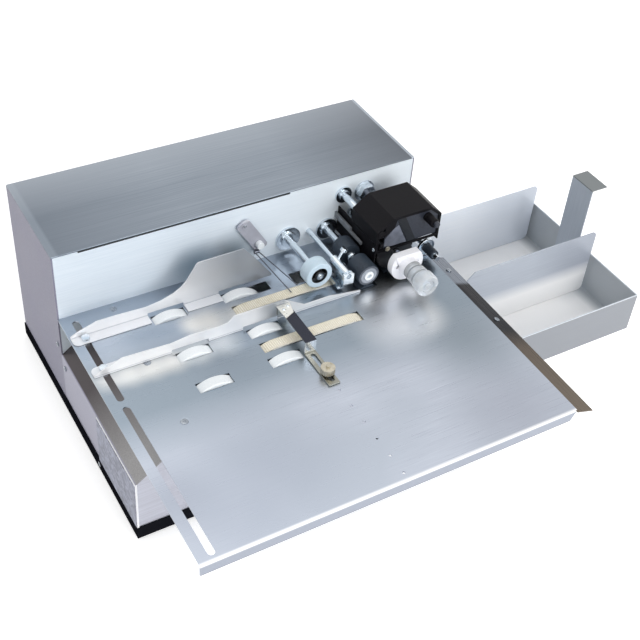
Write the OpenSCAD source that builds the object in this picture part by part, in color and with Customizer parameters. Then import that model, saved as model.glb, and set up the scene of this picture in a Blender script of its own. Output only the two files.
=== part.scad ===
// Desk date coding machine: a sheet-metal cabinet with a feed table, two hopper guides,
// belt and wheel feed, a hot ink-roll print head and a collecting tray.
// x runs along the housing from its left end, y runs back from the housing front,
// z is up from the table top. The whole is then set on the desk about its centre.

/* [Cabinet] */
// Length of the cabinet, left end to right end
body_l = 400; // [320:1:520]
// Depth of the upper housing
body_d = 126; // [100:1:180]
// Height of the upper housing above the table top
body_h = 76; // [76:1:110]
// How far the lower cabinet reaches in front of the housing
cab_front = 184; // [175:1:230]
// Height of the table top above the underside of the base pan
base_drop = 123; // [100:1:160]
// Sheet thickness of the panels
sheet_t = 1.5; // [1:0.1:2.5]
// Height of the base pan's lip
pan_h = 15; // [10:1:25]
// How far the base pan's lip stands outside the panels
pan_lip = 1; // [0.6:0.1:2]
// Radius of a rubber foot
foot_r = 8; // [6:0.5:12]
// Height of a rubber foot below the base pan
foot_h = 3.6; // [3:0.1:8]

/* [Table] */
// Length of the table plate
table_l = 382; // [360:1:400]
// How far the table plate reaches in front of the housing
table_d = 318.5; // [280:0.5:360]
// Depth of the table's front flange
table_flange = 13; // [8:0.5:20]
// Width of the two guide slots at the left edge
slot_w = 7; // [5:0.5:10]
// Distance of the guide slots' centre line from the left end
slot_x = 13.7; // [11:0.1:20]
// Width of the sloping exit strip
exit_w = 20; // [15:1:30]
// Drop of the exit strip's outer edge
exit_drop = 8; // [5:0.5:12]

/* [Feed wheels and belts] */
// Radius of a feed wheel
wheel_r = 30; // [28:0.5:32]
// Width of a feed wheel
wheel_w = 11.5; // [8:0.5:12]
// How far a feed wheel stands above the table
wheel_crown = 3.6; // [2.5:0.1:4]
// Distance of the left wheel shaft from the left end
wheel_x = 98; // [90:0.5:105]
// Distance of the belts' drive shaft from the left end
drive_x = 172.5; // [168:0.5:180]
// Distance between the belts' drive and idler shafts
belt_centres = 81; // [76:0.5:84]
// Width of a feed belt
belt_w = 12; // [10:0.5:13]
// Thickness of a feed belt
belt_t = 2; // [1.5:0.1:3]
// Radius of the wheel, drive and idler shafts
under_shaft_r = 5; // [4:0.5:6]

/* [Guides] */
// Length of the back guide
back_guide_l = 217; // [200:1:225]
// Peak height of the back guide
back_guide_h = 49.5; // [40:0.5:60]
// Distance of the back guide's wall in front of the housing
back_guide_y = 33; // [30:0.5:40]
// Length of the front guide
front_guide_l = 284; // [260:1:300]
// Peak height of the front guide
front_guide_h = 22; // [20:0.5:30]
// Distance of the front guide's wall in front of the housing
front_guide_y = 89.8; // [88:0.1:92]
// Sheet thickness of the guides
guide_t = 1.2; // [1:0.1:1.6]
// Width of the bridge strap on the front guide
strap_w = 12; // [9:0.5:14]
// Height of the bridge strap's top above the table
strap_top = 16.5; // [14:0.5:20]
// Length of the strap's slotted foot
strap_foot = 48; // [42:1:56]

/* [Feed and pull rollers] */
// Distance of the feed roller's axis from the left end
feed_x = 250; // [245:0.5:255]
// Radius of the feed roller's tyre
feed_r = 14.7; // [13:0.1:15]
// Width of the feed roller's tyre
feed_w = 15; // [11:0.5:16]
// Distance of the pull rollers' axis from the left end
pull_x = 296.3; // [294:0.1:298]
// Radius of the upper pull rollers
pull_r = 12; // [11:0.1:12.2]
// Radius of the lower pull roller
lower_pull_r = 12; // [10:0.5:13]
// Radius of the shafts above the table
shaft_r = 4; // [3:0.1:4.5]

/* [Print head] */
// Distance of the print drum's axis from the left end
print_x = 334.5; // [334:0.1:336]
// Radius of the print drum
drum_r = 21.5; // [18:0.1:21.5]
// Length of the print drum
drum_l = 39; // [30:1:39]
// Radius of the hand wheel flange
flange_r = 18.8; // [15:0.1:20]
// Radius of the clear hand knob
knob_r = 14; // [11:0.5:16]
// Length of the clear hand knob
knob_l = 31; // [24:1:34]
// Radius of the ink roll
ink_r = 14.3; // [12:0.1:14.3]
// Top of the head cover above the table
cover_top = 70; // [70:0.5:72]
// Length of the head cover along the shafts
cover_l = 48; // [48:0.5:54]
// Sheet thickness of the head cover
cover_t = 1.2; // [1:0.1:1.3]

/* [Tray] */
// Length of the tray beside the cabinet
tray_l = 191; // [150:1:240]
// Depth of the tray, front wall to back wall
tray_d = 202.5; // [180:0.5:230]
// Height of the tray's walls
tray_h = 49.5; // [40:0.5:60]
// Depth of the tray floor below the table top
tray_drop = 93; // [80:1:100]
// Sheet thickness of the tray, dividers and stop
tray_t = 1.2; // [1:0.1:1.6]
// Length of a divider
divider_l = 176; // [140:1:178]
// Height of the front divider
front_divider_h = 83.5; // [60:0.5:100]
// Height of the back divider
back_divider_h = 77.5; // [60:0.5:100]
// Height of the tray stop
stop_h = 122; // [100:1:140]
// Width of the tray stop
stop_w = 34; // [25:1:45]

/* [Hidden] */
$fn = 64;

// Clearances shared by all pieces
cut_over = 1;
move_gap = 0.3;
run_gap = 0.05;

// Colours
brushed = "#aeb7c0";
dark_brushed = "#8c9298";
pale_panel = "#d5e2ea";
end_panel = "#a09fae";
polished = "#dfe4e8";
black = "#1d1e22";
satin_black = "#26252a";
rubber = "#2a2c30";
cream = "#d8d0a8";
white = "#eef3f5";
tyre_grey = "#b9cbd6";
chrome = "#cfd6dc";
clear_knob = "#dfe8ec";
zinc = "#b7bcc0";

// Cabinet levels and edges
pan_floor = -base_drop + sheet_t;
table_t = 1.5;
under_table = -table_t;
shoulder_z = -47;
left_run = 50;
right_run = 28;
shoulder_slope = 0.76;
shoulder_flange = 12;
cover_notch_x0 = 26;
cover_notch_x1 = 250;
cover_notch_h = 1.2;

// Screws
screw_head_r = 3;
screw_head_h = 1.2;
screw_r = 1.6;
screw_l = 6;
csk_r = 4.5;
csk_depth = 1.2;
table_screw_x = 53.5;
table_screw_ys = [8, 91, 173];
exit_screw_y = 96;
exit_rivet_y = 181;

// Shaft levels under and over the table
under_z = wheel_crown - wheel_r;
belt_top = belt_t;
idler_x = drive_x + belt_centres;
pulley_wrap_r = belt_top - belt_t - under_z;
pulley_r = pulley_wrap_r - move_gap;
row_ys = [41, 98.4, 142.3];
back_belt_y = 61.8;
front_belt_y = 120.5;
feed_z = belt_top + move_gap + feed_r;
feed_front = 68;
nip_z = 3.2;
pull_z = nip_z + move_gap + pull_r;
pull_front = 87;
pull_back = 32;
print_z = nip_z + move_gap + drum_r;
drum_back = 35;
lower_z = nip_z - lower_pull_r;
bearing_plate_y = 158;
bearing_plate_t = 3;
bearing_plate_margin = 22;
inner_reach = 12;

// Shafts of the print head and the exit roller
print_shaft_r = 5;
exit_shaft_r = 3;

// Guides
raise = wheel_crown + move_gap + move_gap;
flange_w = 11;
guide_lift = move_gap;
flange_top = guide_lift + guide_t;
back_guide_x = 1;
front_guide_x = 2.2;
wheel_window = 19;
clamp_head_r = 4;
clamp_head_h = 3;
clamp_stud_r = 2.5;
clamp_nut_r = 5;
clamp_nut_h = 3;
strap_x = 190;
strap_t = 1.5;
strap_y = 145;
stud_r = 2;
stud_slot_w = 4.6;
thumb_r = 7;
thumb_h = 6;
thumb_y = 178;
hole_pitch = 22;
hole_r = 1.4;

// Separator, bars and lever
sep_x = 275.2;
sep_z = 18.6;
sep_r = 3;
sep_front = 80;
bar_x = 305.8;
bar_z = 27;
bar_w = 2.2;
bar_h = 7;
bar_front = 53;
lever_x = 194.5;
lever_z = 56;
lever_w = 15;
lever_l = 46;
lever_tilt = 32;
lever_off = 2.5;
lever_t = 2;
lever_round = 4;

// Head cover
cover_x0 = 308.5;
cover_x1 = 386;
cover_back = 28;
cover_low = 26;
rod_x = 313.8;
rod_z = 53.8;
rod_r = 3.8;
ink_pivot_x = 339.5;
ink_pivot_z = 51.3;
ink_pivot_r = 3.5;
ink_x = 365.6;
ink_z = 45.8;
ink_axle_r = 3;
ink_back = 35;
ink_l = 38;

// Exit roller
exit_x = 379.5;
exit_z = 10.8;
exit_ring_r = 7.2;

// Tray
tray_z = -tray_drop;
tray_back = 18;
tray_x = body_l + tray_l;
divider_gap = 10;
divider_x = body_l + divider_gap;
front_divider_y = 107;
back_divider_y = 2;
divider_foot = 12;
divider_round = 6;
stop_x = tray_x - tray_t - move_gap - tray_t;
stop_y = 50;
stop_flange = 21;
stop_foot = 24;

// Inlet on the back panel
inlet_in = 70;
inlet_x = body_l - inlet_in;
inlet_z = -85;
inlet_w = 30;
inlet_high = 24;
inlet_flange = 2;
inlet_deep = 24;
socket_w = 22;
socket_high = 15;
socket_deep = 16;
switch_in = 34;
switch_x = inlet_x - switch_in;
switch_w = 15;
switch_high = 21;

// The part's frame: origin on the desk, under the middle of the whole
left_reach = screw_head_h;
mid_x = (stop_x + stop_flange - left_reach) / 2;
mid_y = (body_d + inlet_flange - table_d) / 2;
desk_z = base_drop + foot_h;

module in_frame() {
    translate([-mid_x, -mid_y, desk_z]) children();
}

// A block between two corners
module block(low, high) {
    translate(low) cube(high - low);
}

// A round bar running forward from y = -back to y = -front
module bar_y(x, z, r, back, front) {
    translate([x, -back, z]) rotate([90, 0, 0]) cylinder(r = r, h = front - back);
}

// An outline in x and z, its back face at y = -back, thick towards the front
module wall_y(back, thick) {
    translate([0, -back, 0]) rotate([90, 0, 0]) linear_extrude(thick) children();
}

// A flat slot with round ends running front to back
module slot_y(x, back, front, w, low, high) {
    block([x - w / 2, -front + w / 2, low], [x + w / 2, -back - w / 2, high]);
    translate([x, -back - w / 2, low]) cylinder(r = w / 2, h = high - low);
    translate([x, -front + w / 2, low]) cylinder(r = w / 2, h = high - low);
}

// A round wire between two points
module wire(from, to, r) {
    run = to - from;
    reach = norm(run);
    translate(from)
        rotate([0, acos(run[2] / reach), atan2(run[1], run[0])])
            cylinder(r = r, h = reach, $fn = 24);
}

// A rectangle with round corners, about its lower left corner
module round_rect(w, h, r) {
    translate([r, 0]) square([w - r - r, h]);
    translate([0, r]) square([w, h - r - r]);
    for (x = [r, w - r]) {
        for (z = [r, h - r]) {
            translate([x, z]) circle(r = r);
        }
    }
}

module base_pan() {
    color(black) difference() {
        block([-pan_lip, -cab_front - pan_lip, -base_drop],
            [body_l + pan_lip, body_d + pan_lip, -base_drop + pan_h]);
        block([0, -cab_front, pan_floor],
            [body_l, body_d, -base_drop + pan_h + cut_over]);
    }
}

foot_in_x = 33;
foot_in_y = 14;

module rubber_feet() {
    for (x = [foot_in_x, body_l - foot_in_x]) {
        for (y = [-cab_front + foot_in_y, body_d - foot_in_y]) {
            color(rubber) translate([x, y, -desk_z]) cylinder(r = foot_r, h = foot_h);
        }
    }
}

module left_end_panel() {
    color(end_panel) difference() {
        block([0, 0, pan_floor], [sheet_t, body_d, body_h - sheet_t]);
        side_screw_holes();
    }
}

module right_end_panel() {
    color(end_panel)
        block([body_l - sheet_t, 0, pan_floor], [body_l, body_d, body_h - sheet_t]);
}

module back_panel() {
    color(end_panel) difference() {
        block([sheet_t, body_d - sheet_t, pan_floor],
            [body_l - sheet_t, body_d, body_h - sheet_t]);
        translate([inlet_x - inlet_w / 2 + inlet_flange, body_d - sheet_t - cut_over,
            inlet_z - inlet_high / 2 + inlet_flange])
            cube([inlet_w - inlet_flange * 2, sheet_t + cut_over * 2,
                inlet_high - inlet_flange * 2]);
        translate([switch_x - switch_w / 2 + inlet_flange, body_d - sheet_t - cut_over,
            inlet_z - switch_high / 2 + inlet_flange])
            cube([switch_w - inlet_flange * 2, sheet_t + cut_over * 2,
                switch_high - inlet_flange * 2]);
    }
}

module top_cover() {
    color(dark_brushed) block([0, 0, body_h - sheet_t], [body_l, body_d, body_h]);
}

// Places and radii of the shafts that pass the housing front, as x, z, radius
front_bores = [
    [wheel_x, under_z, under_shaft_r + run_gap],
    [drive_x, under_z, under_shaft_r + run_gap],
    [idler_x, under_z, under_shaft_r + run_gap],
    [feed_x, feed_z, shaft_r + move_gap],
    [pull_x, pull_z, shaft_r + move_gap],
    [pull_x, lower_z, shaft_r + run_gap],
    [print_x, print_z, print_shaft_r + move_gap],
    [print_x, lower_z, shaft_r + run_gap],
    [rod_x, rod_z, rod_r],
    [ink_pivot_x, ink_pivot_z, ink_pivot_r + run_gap],
    [sep_x, sep_z, sep_r],
    [exit_x, exit_z, exit_shaft_r + run_gap]
];
module housing_front_plate() {
    color(pale_panel) difference() {
        block([sheet_t, 0, pan_floor], [body_l - sheet_t, sheet_t, body_h - sheet_t]);
        block([cover_notch_x0, -cut_over, body_h - sheet_t - cover_notch_h],
            [cover_notch_x1, sheet_t + cut_over, body_h]);
        for (bore = front_bores) {
            bar_y(bore[0], bore[1], bore[2], -sheet_t - cut_over, cut_over);
        }
        block([bar_x, -cut_over, bar_z], [bar_x + bar_w, sheet_t + cut_over, bar_z + bar_h]);
    }
}

// One side of the lower cabinet: wall, sloping shoulder and the flange under the table
module lower_side(run) {
    rise = run * shoulder_slope;
    skin = sheet_t * norm([1, shoulder_slope]);
    wall_y(0, cab_front) polygon([
        [0, pan_floor], [0, shoulder_z], [run, shoulder_z + rise], [run, under_table],
        [run + shoulder_flange, under_table], [run + shoulder_flange, under_table - sheet_t],
        [run + sheet_t, under_table - sheet_t],
        [run + sheet_t, shoulder_z + rise + sheet_t * shoulder_slope - skin],
        [sheet_t, shoulder_z + sheet_t * shoulder_slope - skin], [sheet_t, pan_floor]]);
}

module left_lower_panel() {
    color(brushed) difference() {
        lower_side(left_run);
        for (y = table_screw_ys) {
            translate([table_screw_x, -y, under_table - sheet_t - cut_over])
                cylinder(r = screw_r, h = sheet_t + cut_over * 2);
        }
        side_screw_holes();
    }
}

module right_lower_panel() {
    color(brushed) translate([body_l, 0, 0]) mirror([1, 0, 0]) lower_side(right_run);
}

module lower_front_panel() {
    skin = sheet_t * norm([1, shoulder_slope]);
    low_corner = shoulder_z + sheet_t * shoulder_slope - skin;
    top = under_table - sheet_t;
    color(brushed) wall_y(cab_front - sheet_t, sheet_t)
        polygon([[sheet_t, pan_floor], [sheet_t, low_corner],
            [left_run + sheet_t, low_corner + left_run * shoulder_slope],
            [left_run + sheet_t, top], [body_l - right_run - sheet_t, top],
            [body_l - right_run - sheet_t, low_corner + right_run * shoulder_slope],
            [body_l - sheet_t, low_corner], [body_l - sheet_t, pan_floor]]);
}

access_back = 92;
access_top = -50;

module side_access_plate() {
    color(zinc) block([-pan_lip, -cab_front, -base_drop + pan_h],
        [0, -access_back, access_top]);
}

// Openings in the table
wheel_cut = 17.2;
row_cut = 34.4;
belt_cut_l = 14.5;
belt_side = 0.8;
nip_cut = 11;

module table_openings() {
    low = under_table - cut_over;
    high = cut_over;
    side = (wheel_w + belt_side * 2) / 2;
    for (y = row_ys) {
        for (x = [wheel_x, drive_x]) {
            block([x - wheel_cut, -y - side, low], [x + wheel_cut, -y + side, high]);
        }
    }
    for (y = [back_belt_y, front_belt_y]) {
        block([drive_x - belt_cut_l, -y - belt_w / 2 - belt_side, low],
            [idler_x + belt_cut_l, -y + belt_w / 2 + belt_side, high]);
    }
    block([drive_x, -row_ys[0] - side, low],
        [drive_x + row_cut, -row_ys[0] + side, high]);
    block([feed_x - wheel_cut, -feed_front + feed_w + belt_side, low],
        [feed_x + wheel_cut + nip_cut, -row_ys[0] + side, high]);
    block([pull_x - nip_cut, -pull_front - belt_side, low],
        [pull_x + nip_cut, -pull_back + belt_side, high]);
    block([print_x - nip_cut, -drum_back - drum_l - belt_side, low],
        [print_x + nip_cut, -drum_back + belt_side, high]);
}

slot_backs = [9.3, 134];
slot_fronts = [126.5, 313];
corner_cut = 5;
corner_rise = 10;
scale_holes = 6;
strap_slot_share = 0.55;

module table_plate() {
    color(brushed) difference() {
        union() {
            block([0, -table_d, under_table], [table_l, 0, 0]);
            wall_y(table_d - table_t, table_t)
                polygon([[0, 0], [0, -table_flange], [table_l - corner_cut, -table_flange],
                    [table_l, -table_flange + corner_rise], [table_l, 0]]);
        }
        table_openings();
        for (i = [0, 1]) {
            slot_y(slot_x, slot_backs[i], slot_fronts[i], slot_w,
                under_table - cut_over, cut_over);
        }
        for (y = table_screw_ys) {
            translate([table_screw_x, -y, under_table - cut_over])
                cylinder(r = screw_r, h = table_t + cut_over);
            translate([table_screw_x, -y, -csk_depth])
                cylinder(r1 = screw_r, r2 = csk_r, h = csk_depth);
        }
        translate([strap_x + strap_w * strap_slot_share, -thumb_y, under_table - cut_over])
            cylinder(r = stud_r + run_gap, h = table_t + cut_over * 2);
        for (i = [1:scale_holes]) {
            translate([strap_x + strap_w * strap_slot_share, -thumb_y - hole_pitch * i,
                under_table - cut_over])
                cylinder(r = hole_r, h = table_t + cut_over * 2);
        }
    }
}

exit_front = 320;
exit_back = 72;
exit_t = 1;
exit_tuck = 9;

exit_slope = atan((exit_drop - exit_t) / exit_w);

module exit_strip() {
    tuck_front = table_d - table_t - move_gap;
    tuck_x = table_l - exit_tuck;
    slope = [[table_l, under_table], [table_l + exit_w, under_table - exit_drop + exit_t],
        [table_l + exit_w, under_table - exit_drop], [table_l, under_table - exit_t]];
    tuck = [[tuck_x, under_table - exit_t], [tuck_x, under_table]];
    color(brushed) difference() {
        union() {
            wall_y(exit_back, exit_front - exit_back) polygon(slope);
            wall_y(exit_back, tuck_front - exit_back) polygon(concat(slope, tuck));
        }
        for (y = [exit_screw_y, exit_rivet_y]) {
            translate([table_l + exit_w / 2, -y, under_table - exit_drop / 2])
                rotate([0, exit_slope, 0])
                    cylinder(r = screw_r, h = exit_drop, center = true);
        }
    }
}

head_taper_share = 0.7;

// A pan-head screw standing up from z = 0, its shank going down
module pan_screw(shank) {
    cylinder(r1 = screw_head_r, r2 = screw_head_r * head_taper_share, h = screw_head_h);
    translate([0, 0, -shank]) cylinder(r = screw_r, h = shank);
}

// The two side screws, as y and z: one in the end panel, one in the lower side panel
side_screws = [[8, -39], [-7, -60]];

module side_screw_holes() {
    for (place = side_screws) {
        translate([-cut_over, place[0], place[1]]) rotate([0, 90, 0])
            cylinder(r = screw_r, h = sheet_t + cut_over * 2);
    }
}

module panel_screws() {
    color(chrome) {
        for (y = table_screw_ys) {
            translate([table_screw_x, -y, -csk_depth])
                cylinder(r1 = screw_r, r2 = csk_r, h = csk_depth);
            translate([table_screw_x, -y, -screw_l]) cylinder(r = screw_r, h = screw_l - csk_depth);
        }
        for (y = [exit_screw_y, exit_rivet_y]) {
            translate([table_l + exit_w / 2, -y, under_table - exit_drop / 2])
                rotate([0, exit_slope, 0]) translate([0, 0, exit_t / 2]) pan_screw(exit_t);
        }
        for (place = side_screws) {
            translate([0, place[0], place[1]]) rotate([0, -90, 0]) pan_screw(sheet_t);
        }
    }
}

// The back guide's wall, as shares of its length and peak height
back_wall_shares = [[0, 0.075], [0.037, 0.16], [0.064, 0.198], [0.124, 0.283],
    [0.216, 0.281], [0.354, 0.253], [0.426, 0.303], [0.488, 0.396], [0.525, 0.5],
    [0.552, 0.626], [0.584, 0.848], [0.6, 0.965], [0.612, 0.99], [0.834, 1],
    [0.895, 0.667], [0.957, 0.289], [0.983, 0.13]];

module back_guide() {
    window_x = wheel_x - wheel_window - back_guide_x;
    end_x = drive_x - wheel_cut - back_guide_x;
    color(polished) translate([back_guide_x, 0, 0]) difference() {
        union() {
            wall_y(back_guide_y - guide_t, guide_t) difference() {
                polygon(concat([[0, guide_lift]],
                    [for (p = back_wall_shares) [p[0] * back_guide_l, p[1] * back_guide_h]],
                    [[back_guide_l * back_wall_shares[len(back_wall_shares) - 1][0],
                        guide_lift]]));
                translate([window_x, 0]) square([wheel_window * 2, raise]);
                translate([end_x, 0]) square([back_guide_l, raise]);
            }
            block([flange_w / 2, -back_guide_y - flange_w, guide_lift],
                [end_x, -back_guide_y, flange_top]);
            translate([flange_w / 2, -back_guide_y - flange_w / 2, guide_lift])
                cylinder(r = flange_w / 2, h = guide_t);
            block([0, -back_guide_y - flange_w / 2, guide_lift],
                [flange_w, -back_guide_y, flange_top]);
        }
        block([window_x, -back_guide_y - flange_w - cut_over, 0],
            [window_x + wheel_window * 2, -back_guide_y, flange_top + cut_over]);
        translate([slot_x - back_guide_x, -back_guide_y - flange_w / 2, 0])
            cylinder(r = clamp_stud_r, h = flange_top + cut_over);
    }
}

// A clamp through the guide slot: round head above, nut and washer below the table
module guide_clamp(y) {
    color(chrome) translate([slot_x, -y, 0]) {
        translate([0, 0, flange_top]) cylinder(r = clamp_head_r, h = clamp_head_h);
        translate([0, 0, under_table - move_gap - clamp_nut_h])
            cylinder(r = clamp_stud_r,
                h = clamp_nut_h + move_gap + table_t + flange_top);
        translate([0, 0, under_table - move_gap - clamp_nut_h])
            cylinder(r = clamp_nut_r, h = clamp_nut_h, $fn = 6);
    }
}

module back_guide_clamp() {
    guide_clamp(back_guide_y + flange_w / 2);
}

// The front guide's wall, as shares of its length and peak height
front_wall_shares = [[0, 0.13], [0.024, 0.29], [0.059, 0.464], [0.098, 0.664],
    [0.179, 0.627], [0.267, 0.568], [0.337, 0.7], [0.445, 0.655], [0.474, 0.709],
    [0.488, 0.864], [0.497, 1], [0.69, 1], [0.772, 0.327], [0.872, 0.34],
    [0.915, 0.236], [1, 0.1]];

module front_guide() {
    left_window = wheel_x - wheel_window - front_guide_x;
    right_window = drive_x - wheel_window - front_guide_x;
    inner = -front_guide_y + guide_t;
    color(polished) translate([front_guide_x, 0, 0]) difference() {
        union() {
            wall_y(front_guide_y - guide_t, guide_t) difference() {
                polygon(concat([[0, guide_lift]],
                    [for (p = front_wall_shares) [p[0] * front_guide_l, p[1] * front_guide_h]],
                    [[front_guide_l, guide_lift]]));
                for (x = [left_window, right_window]) {
                    translate([x, 0]) square([wheel_window * 2, raise]);
                }
            }
            block([flange_w / 2, inner, guide_lift], [right_window, inner + flange_w, flange_top]);
            translate([flange_w / 2, inner + flange_w / 2, guide_lift])
                cylinder(r = flange_w / 2, h = guide_t);
            block([0, inner, guide_lift], [flange_w, inner + flange_w / 2, flange_top]);
        }
        block([left_window, inner, 0],
            [left_window + wheel_window * 2, inner + flange_w + cut_over, flange_top + cut_over]);
        translate([slot_x - front_guide_x, inner + flange_w / 2, 0])
            cylinder(r = clamp_stud_r, h = flange_top + cut_over);
    }
}

module front_guide_clamp() {
    guide_clamp(front_guide_y - guide_t - flange_w / 2);
}

strap_tab = 10;
slot_margin = 4;

module guide_strap() {
    low = strap_top - strap_t;
    side = wall_side();
    color(polished) difference() {
        union() {
            block([strap_x, -strap_y, low], [strap_x + strap_w, side, strap_top]);
            block([strap_x, side - strap_t, strap_top - strap_tab],
                [strap_x + strap_w, side, strap_top]);
            block([strap_x, -strap_y - strap_t, guide_lift],
                [strap_x + strap_w, -strap_y, strap_top]);
            block([strap_x, -strap_y - strap_foot, guide_lift],
                [strap_x + strap_w, -strap_y, guide_lift + strap_t]);
        }
        slot_y(strap_x + strap_w * strap_slot_share, strap_y + slot_margin,
            strap_y + strap_foot - slot_margin, stud_slot_w, 0, strap_t + cut_over);
    }
}

// Front face of the front guide's wall, where the strap is riveted
function wall_side() = -front_guide_y;

knurls = 20;
knurl_r = 0.5;

module guide_thumb_nut() {
    seat = guide_lift + strap_t + move_gap;
    neck_h = stud_r;
    color(chrome) translate([strap_x + strap_w * strap_slot_share, -thumb_y, 0]) {
        translate([0, 0, under_table - thumb_h]) cylinder(r = stud_r, h = thumb_h + table_t + seat);
        translate([0, 0, seat]) cylinder(r = thumb_r / 2, h = neck_h);
        translate([0, 0, seat + neck_h]) difference() {
            cylinder(r = thumb_r, h = thumb_h);
            for (i = [0:knurls - 1]) {
                rotate(i * 360 / knurls) translate([thumb_r, 0, -cut_over])
                    cylinder(r = knurl_r, h = thumb_h + cut_over * 2, $fn = 16);
            }
        }
        translate([0, 0, seat + neck_h + thumb_h]) cylinder(r = stud_r, h = stud_r);
    }
}

// A crowned feed wheel with a stepped web, on its shaft
rim_share = 0.82;
web_share = 0.5;
crown_edge = 0.8;
wheel_hub_r = 10;

module feed_wheel(x, y) {
    half = wheel_w / 2;
    translate([x, -y, under_z]) rotate([90, 0, 0]) rotate_extrude($fn = 128) polygon([
        [under_shaft_r, -half], [wheel_hub_r, -half],
        [wheel_hub_r, -half * web_share], [wheel_r * rim_share, -half * web_share],
        [wheel_r * rim_share, -half], [wheel_r - crown_edge, -half],
        [wheel_r, -half + crown_edge], [wheel_r, half - crown_edge],
        [wheel_r - crown_edge, half], [wheel_r * rim_share, half],
        [wheel_r * rim_share, half * web_share], [wheel_hub_r, half * web_share],
        [wheel_hub_r, half], [under_shaft_r, half]]);
}

module left_feed_wheels() {
    for (y = row_ys) {
        color(white) feed_wheel(wheel_x, y);
    }
}

module right_feed_wheels() {
    for (y = row_ys) {
        color(white) feed_wheel(drive_x, y);
    }
}

shaft_end = 6;
under_front = bearing_plate_y + bearing_plate_t + shaft_end;

module wheel_shaft() {
    color(chrome) bar_y(wheel_x, under_z, under_shaft_r, -inner_reach, under_front);
}

// A flanged belt pulley under the table
module belt_pulley(x, y) {
    half = belt_w / 2 + move_gap;
    color(white) translate([x, -y, under_z]) rotate([90, 0, 0]) difference() {
        cylinder(r = pulley_r, h = half * 2, center = true, $fn = 128);
        cylinder(r = under_shaft_r, h = half * 2 + cut_over, center = true);
    }
}

motor_l = 92;
motor_w = 62;
motor_high = 62;
motor_shaft_in = 20;

module belt_drive_shaft() {
    color(chrome) bar_y(drive_x, under_z, under_shaft_r, -motor_shaft_in, under_front);
    for (y = [back_belt_y, front_belt_y]) {
        belt_pulley(drive_x, y);
    }
}

module belt_idler_shaft() {
    color(chrome) bar_y(idler_x, under_z, under_shaft_r, -inner_reach, under_front);
    for (y = [back_belt_y, front_belt_y]) {
        belt_pulley(idler_x, y);
    }
}

module belt_loop(y) {
    color(cream) translate([0, -y, under_z]) rotate([90, 0, 0])
        linear_extrude(belt_w, center = true, $fn = 128) difference() {
            union() {
                for (x = [drive_x, idler_x]) {
                    translate([x, 0]) circle(r = pulley_wrap_r + belt_t);
                }
                translate([drive_x, -pulley_wrap_r - belt_t])
                    square([belt_centres, (pulley_wrap_r + belt_t) * 2]);
            }
            for (x = [drive_x, idler_x]) {
                translate([x, 0]) circle(r = pulley_wrap_r);
            }
            translate([drive_x, -pulley_wrap_r]) square([belt_centres, pulley_wrap_r * 2]);
        }
}

module back_feed_belt() {
    belt_loop(back_belt_y);
}

module front_feed_belt() {
    belt_loop(front_belt_y);
}

bearing_flange_l = 12;

module front_bearing_plate() {
    low = under_z - wheel_r;
    x0 = wheel_x - bearing_plate_margin;
    x1 = idler_x + bearing_plate_margin;
    color(zinc) difference() {
        union() {
            block([x0, -bearing_plate_y - bearing_plate_t, low],
                [x1, -bearing_plate_y, under_table]);
            block([x0, -bearing_plate_y - bearing_flange_l, under_table - bearing_plate_t],
                [x1, -bearing_plate_y, under_table]);
        }
        for (x = [wheel_x, drive_x, idler_x]) {
            bar_y(x, under_z, under_shaft_r + run_gap, bearing_plate_y - cut_over,
                bearing_plate_y + bearing_plate_t + cut_over);
        }
    }
}

hub_share = 0.62;
hub_step = 1.5;

module feed_shaft() {
    color(chrome) bar_y(feed_x, feed_z, shaft_r, -inner_reach, feed_front + cut_over);
}

module feed_roller_hub() {
    hub_r = feed_r * hub_share;
    color(black) difference() {
        union() {
            bar_y(feed_x, feed_z, hub_r, feed_front - feed_w, feed_front - hub_step);
            bar_y(feed_x, feed_z, shaft_r + hub_step, feed_front - hub_step, feed_front);
        }
        bar_y(feed_x, feed_z, shaft_r, feed_front - feed_w - cut_over, feed_front + cut_over);
    }
}

tyre_edge = 1;

module feed_roller_tyre() {
    color(tyre_grey) translate([feed_x, -feed_front + feed_w / 2, feed_z])
        rotate([90, 0, 0]) rotate_extrude($fn = 96) polygon([
            [feed_r * hub_share, -feed_w / 2], [feed_r - tyre_edge, -feed_w / 2],
            [feed_r, -feed_w / 2 + tyre_edge], [feed_r, feed_w / 2 - tyre_edge],
            [feed_r - tyre_edge, feed_w / 2], [feed_r * hub_share, feed_w / 2]]);
}

pull_hub_r = 6.8;
pull_collar_r = 6;
rear_pull_l = 18;
front_pull_l = 23;
collar_l = 6;
pull_face = 1.5;

module pull_shaft() {
    color(chrome) {
        bar_y(pull_x, pull_z, shaft_r, -inner_reach, pull_front + cut_over);
        bar_y(pull_x, pull_z, pull_collar_r, pull_back + rear_pull_l + pull_face,
            pull_back + rear_pull_l + pull_face + collar_l);
        bar_y(pull_x, pull_z, pull_hub_r, pull_front - front_pull_l, pull_front - pull_face);
    }
}

module pull_rollers() {
    color(rubber) {
        difference() {
            bar_y(pull_x, pull_z, pull_r, pull_back, pull_back + rear_pull_l);
            bar_y(pull_x, pull_z, shaft_r, pull_back - cut_over,
                pull_back + rear_pull_l + cut_over);
        }
        difference() {
            bar_y(pull_x, pull_z, pull_r, pull_front - front_pull_l, pull_front);
            bar_y(pull_x, pull_z, pull_hub_r, pull_front - front_pull_l - cut_over,
                pull_front + cut_over);
        }
    }
}

module lower_pull_roller() {
    color(rubber) {
        bar_y(pull_x, lower_z, lower_pull_r, pull_back, pull_front);
        bar_y(pull_x, lower_z, shaft_r, -inner_reach, pull_back);
    }
}

bearing_flange_t = 2.5;
bearing_boss_l = 5;
boss_share = 0.62;

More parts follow.
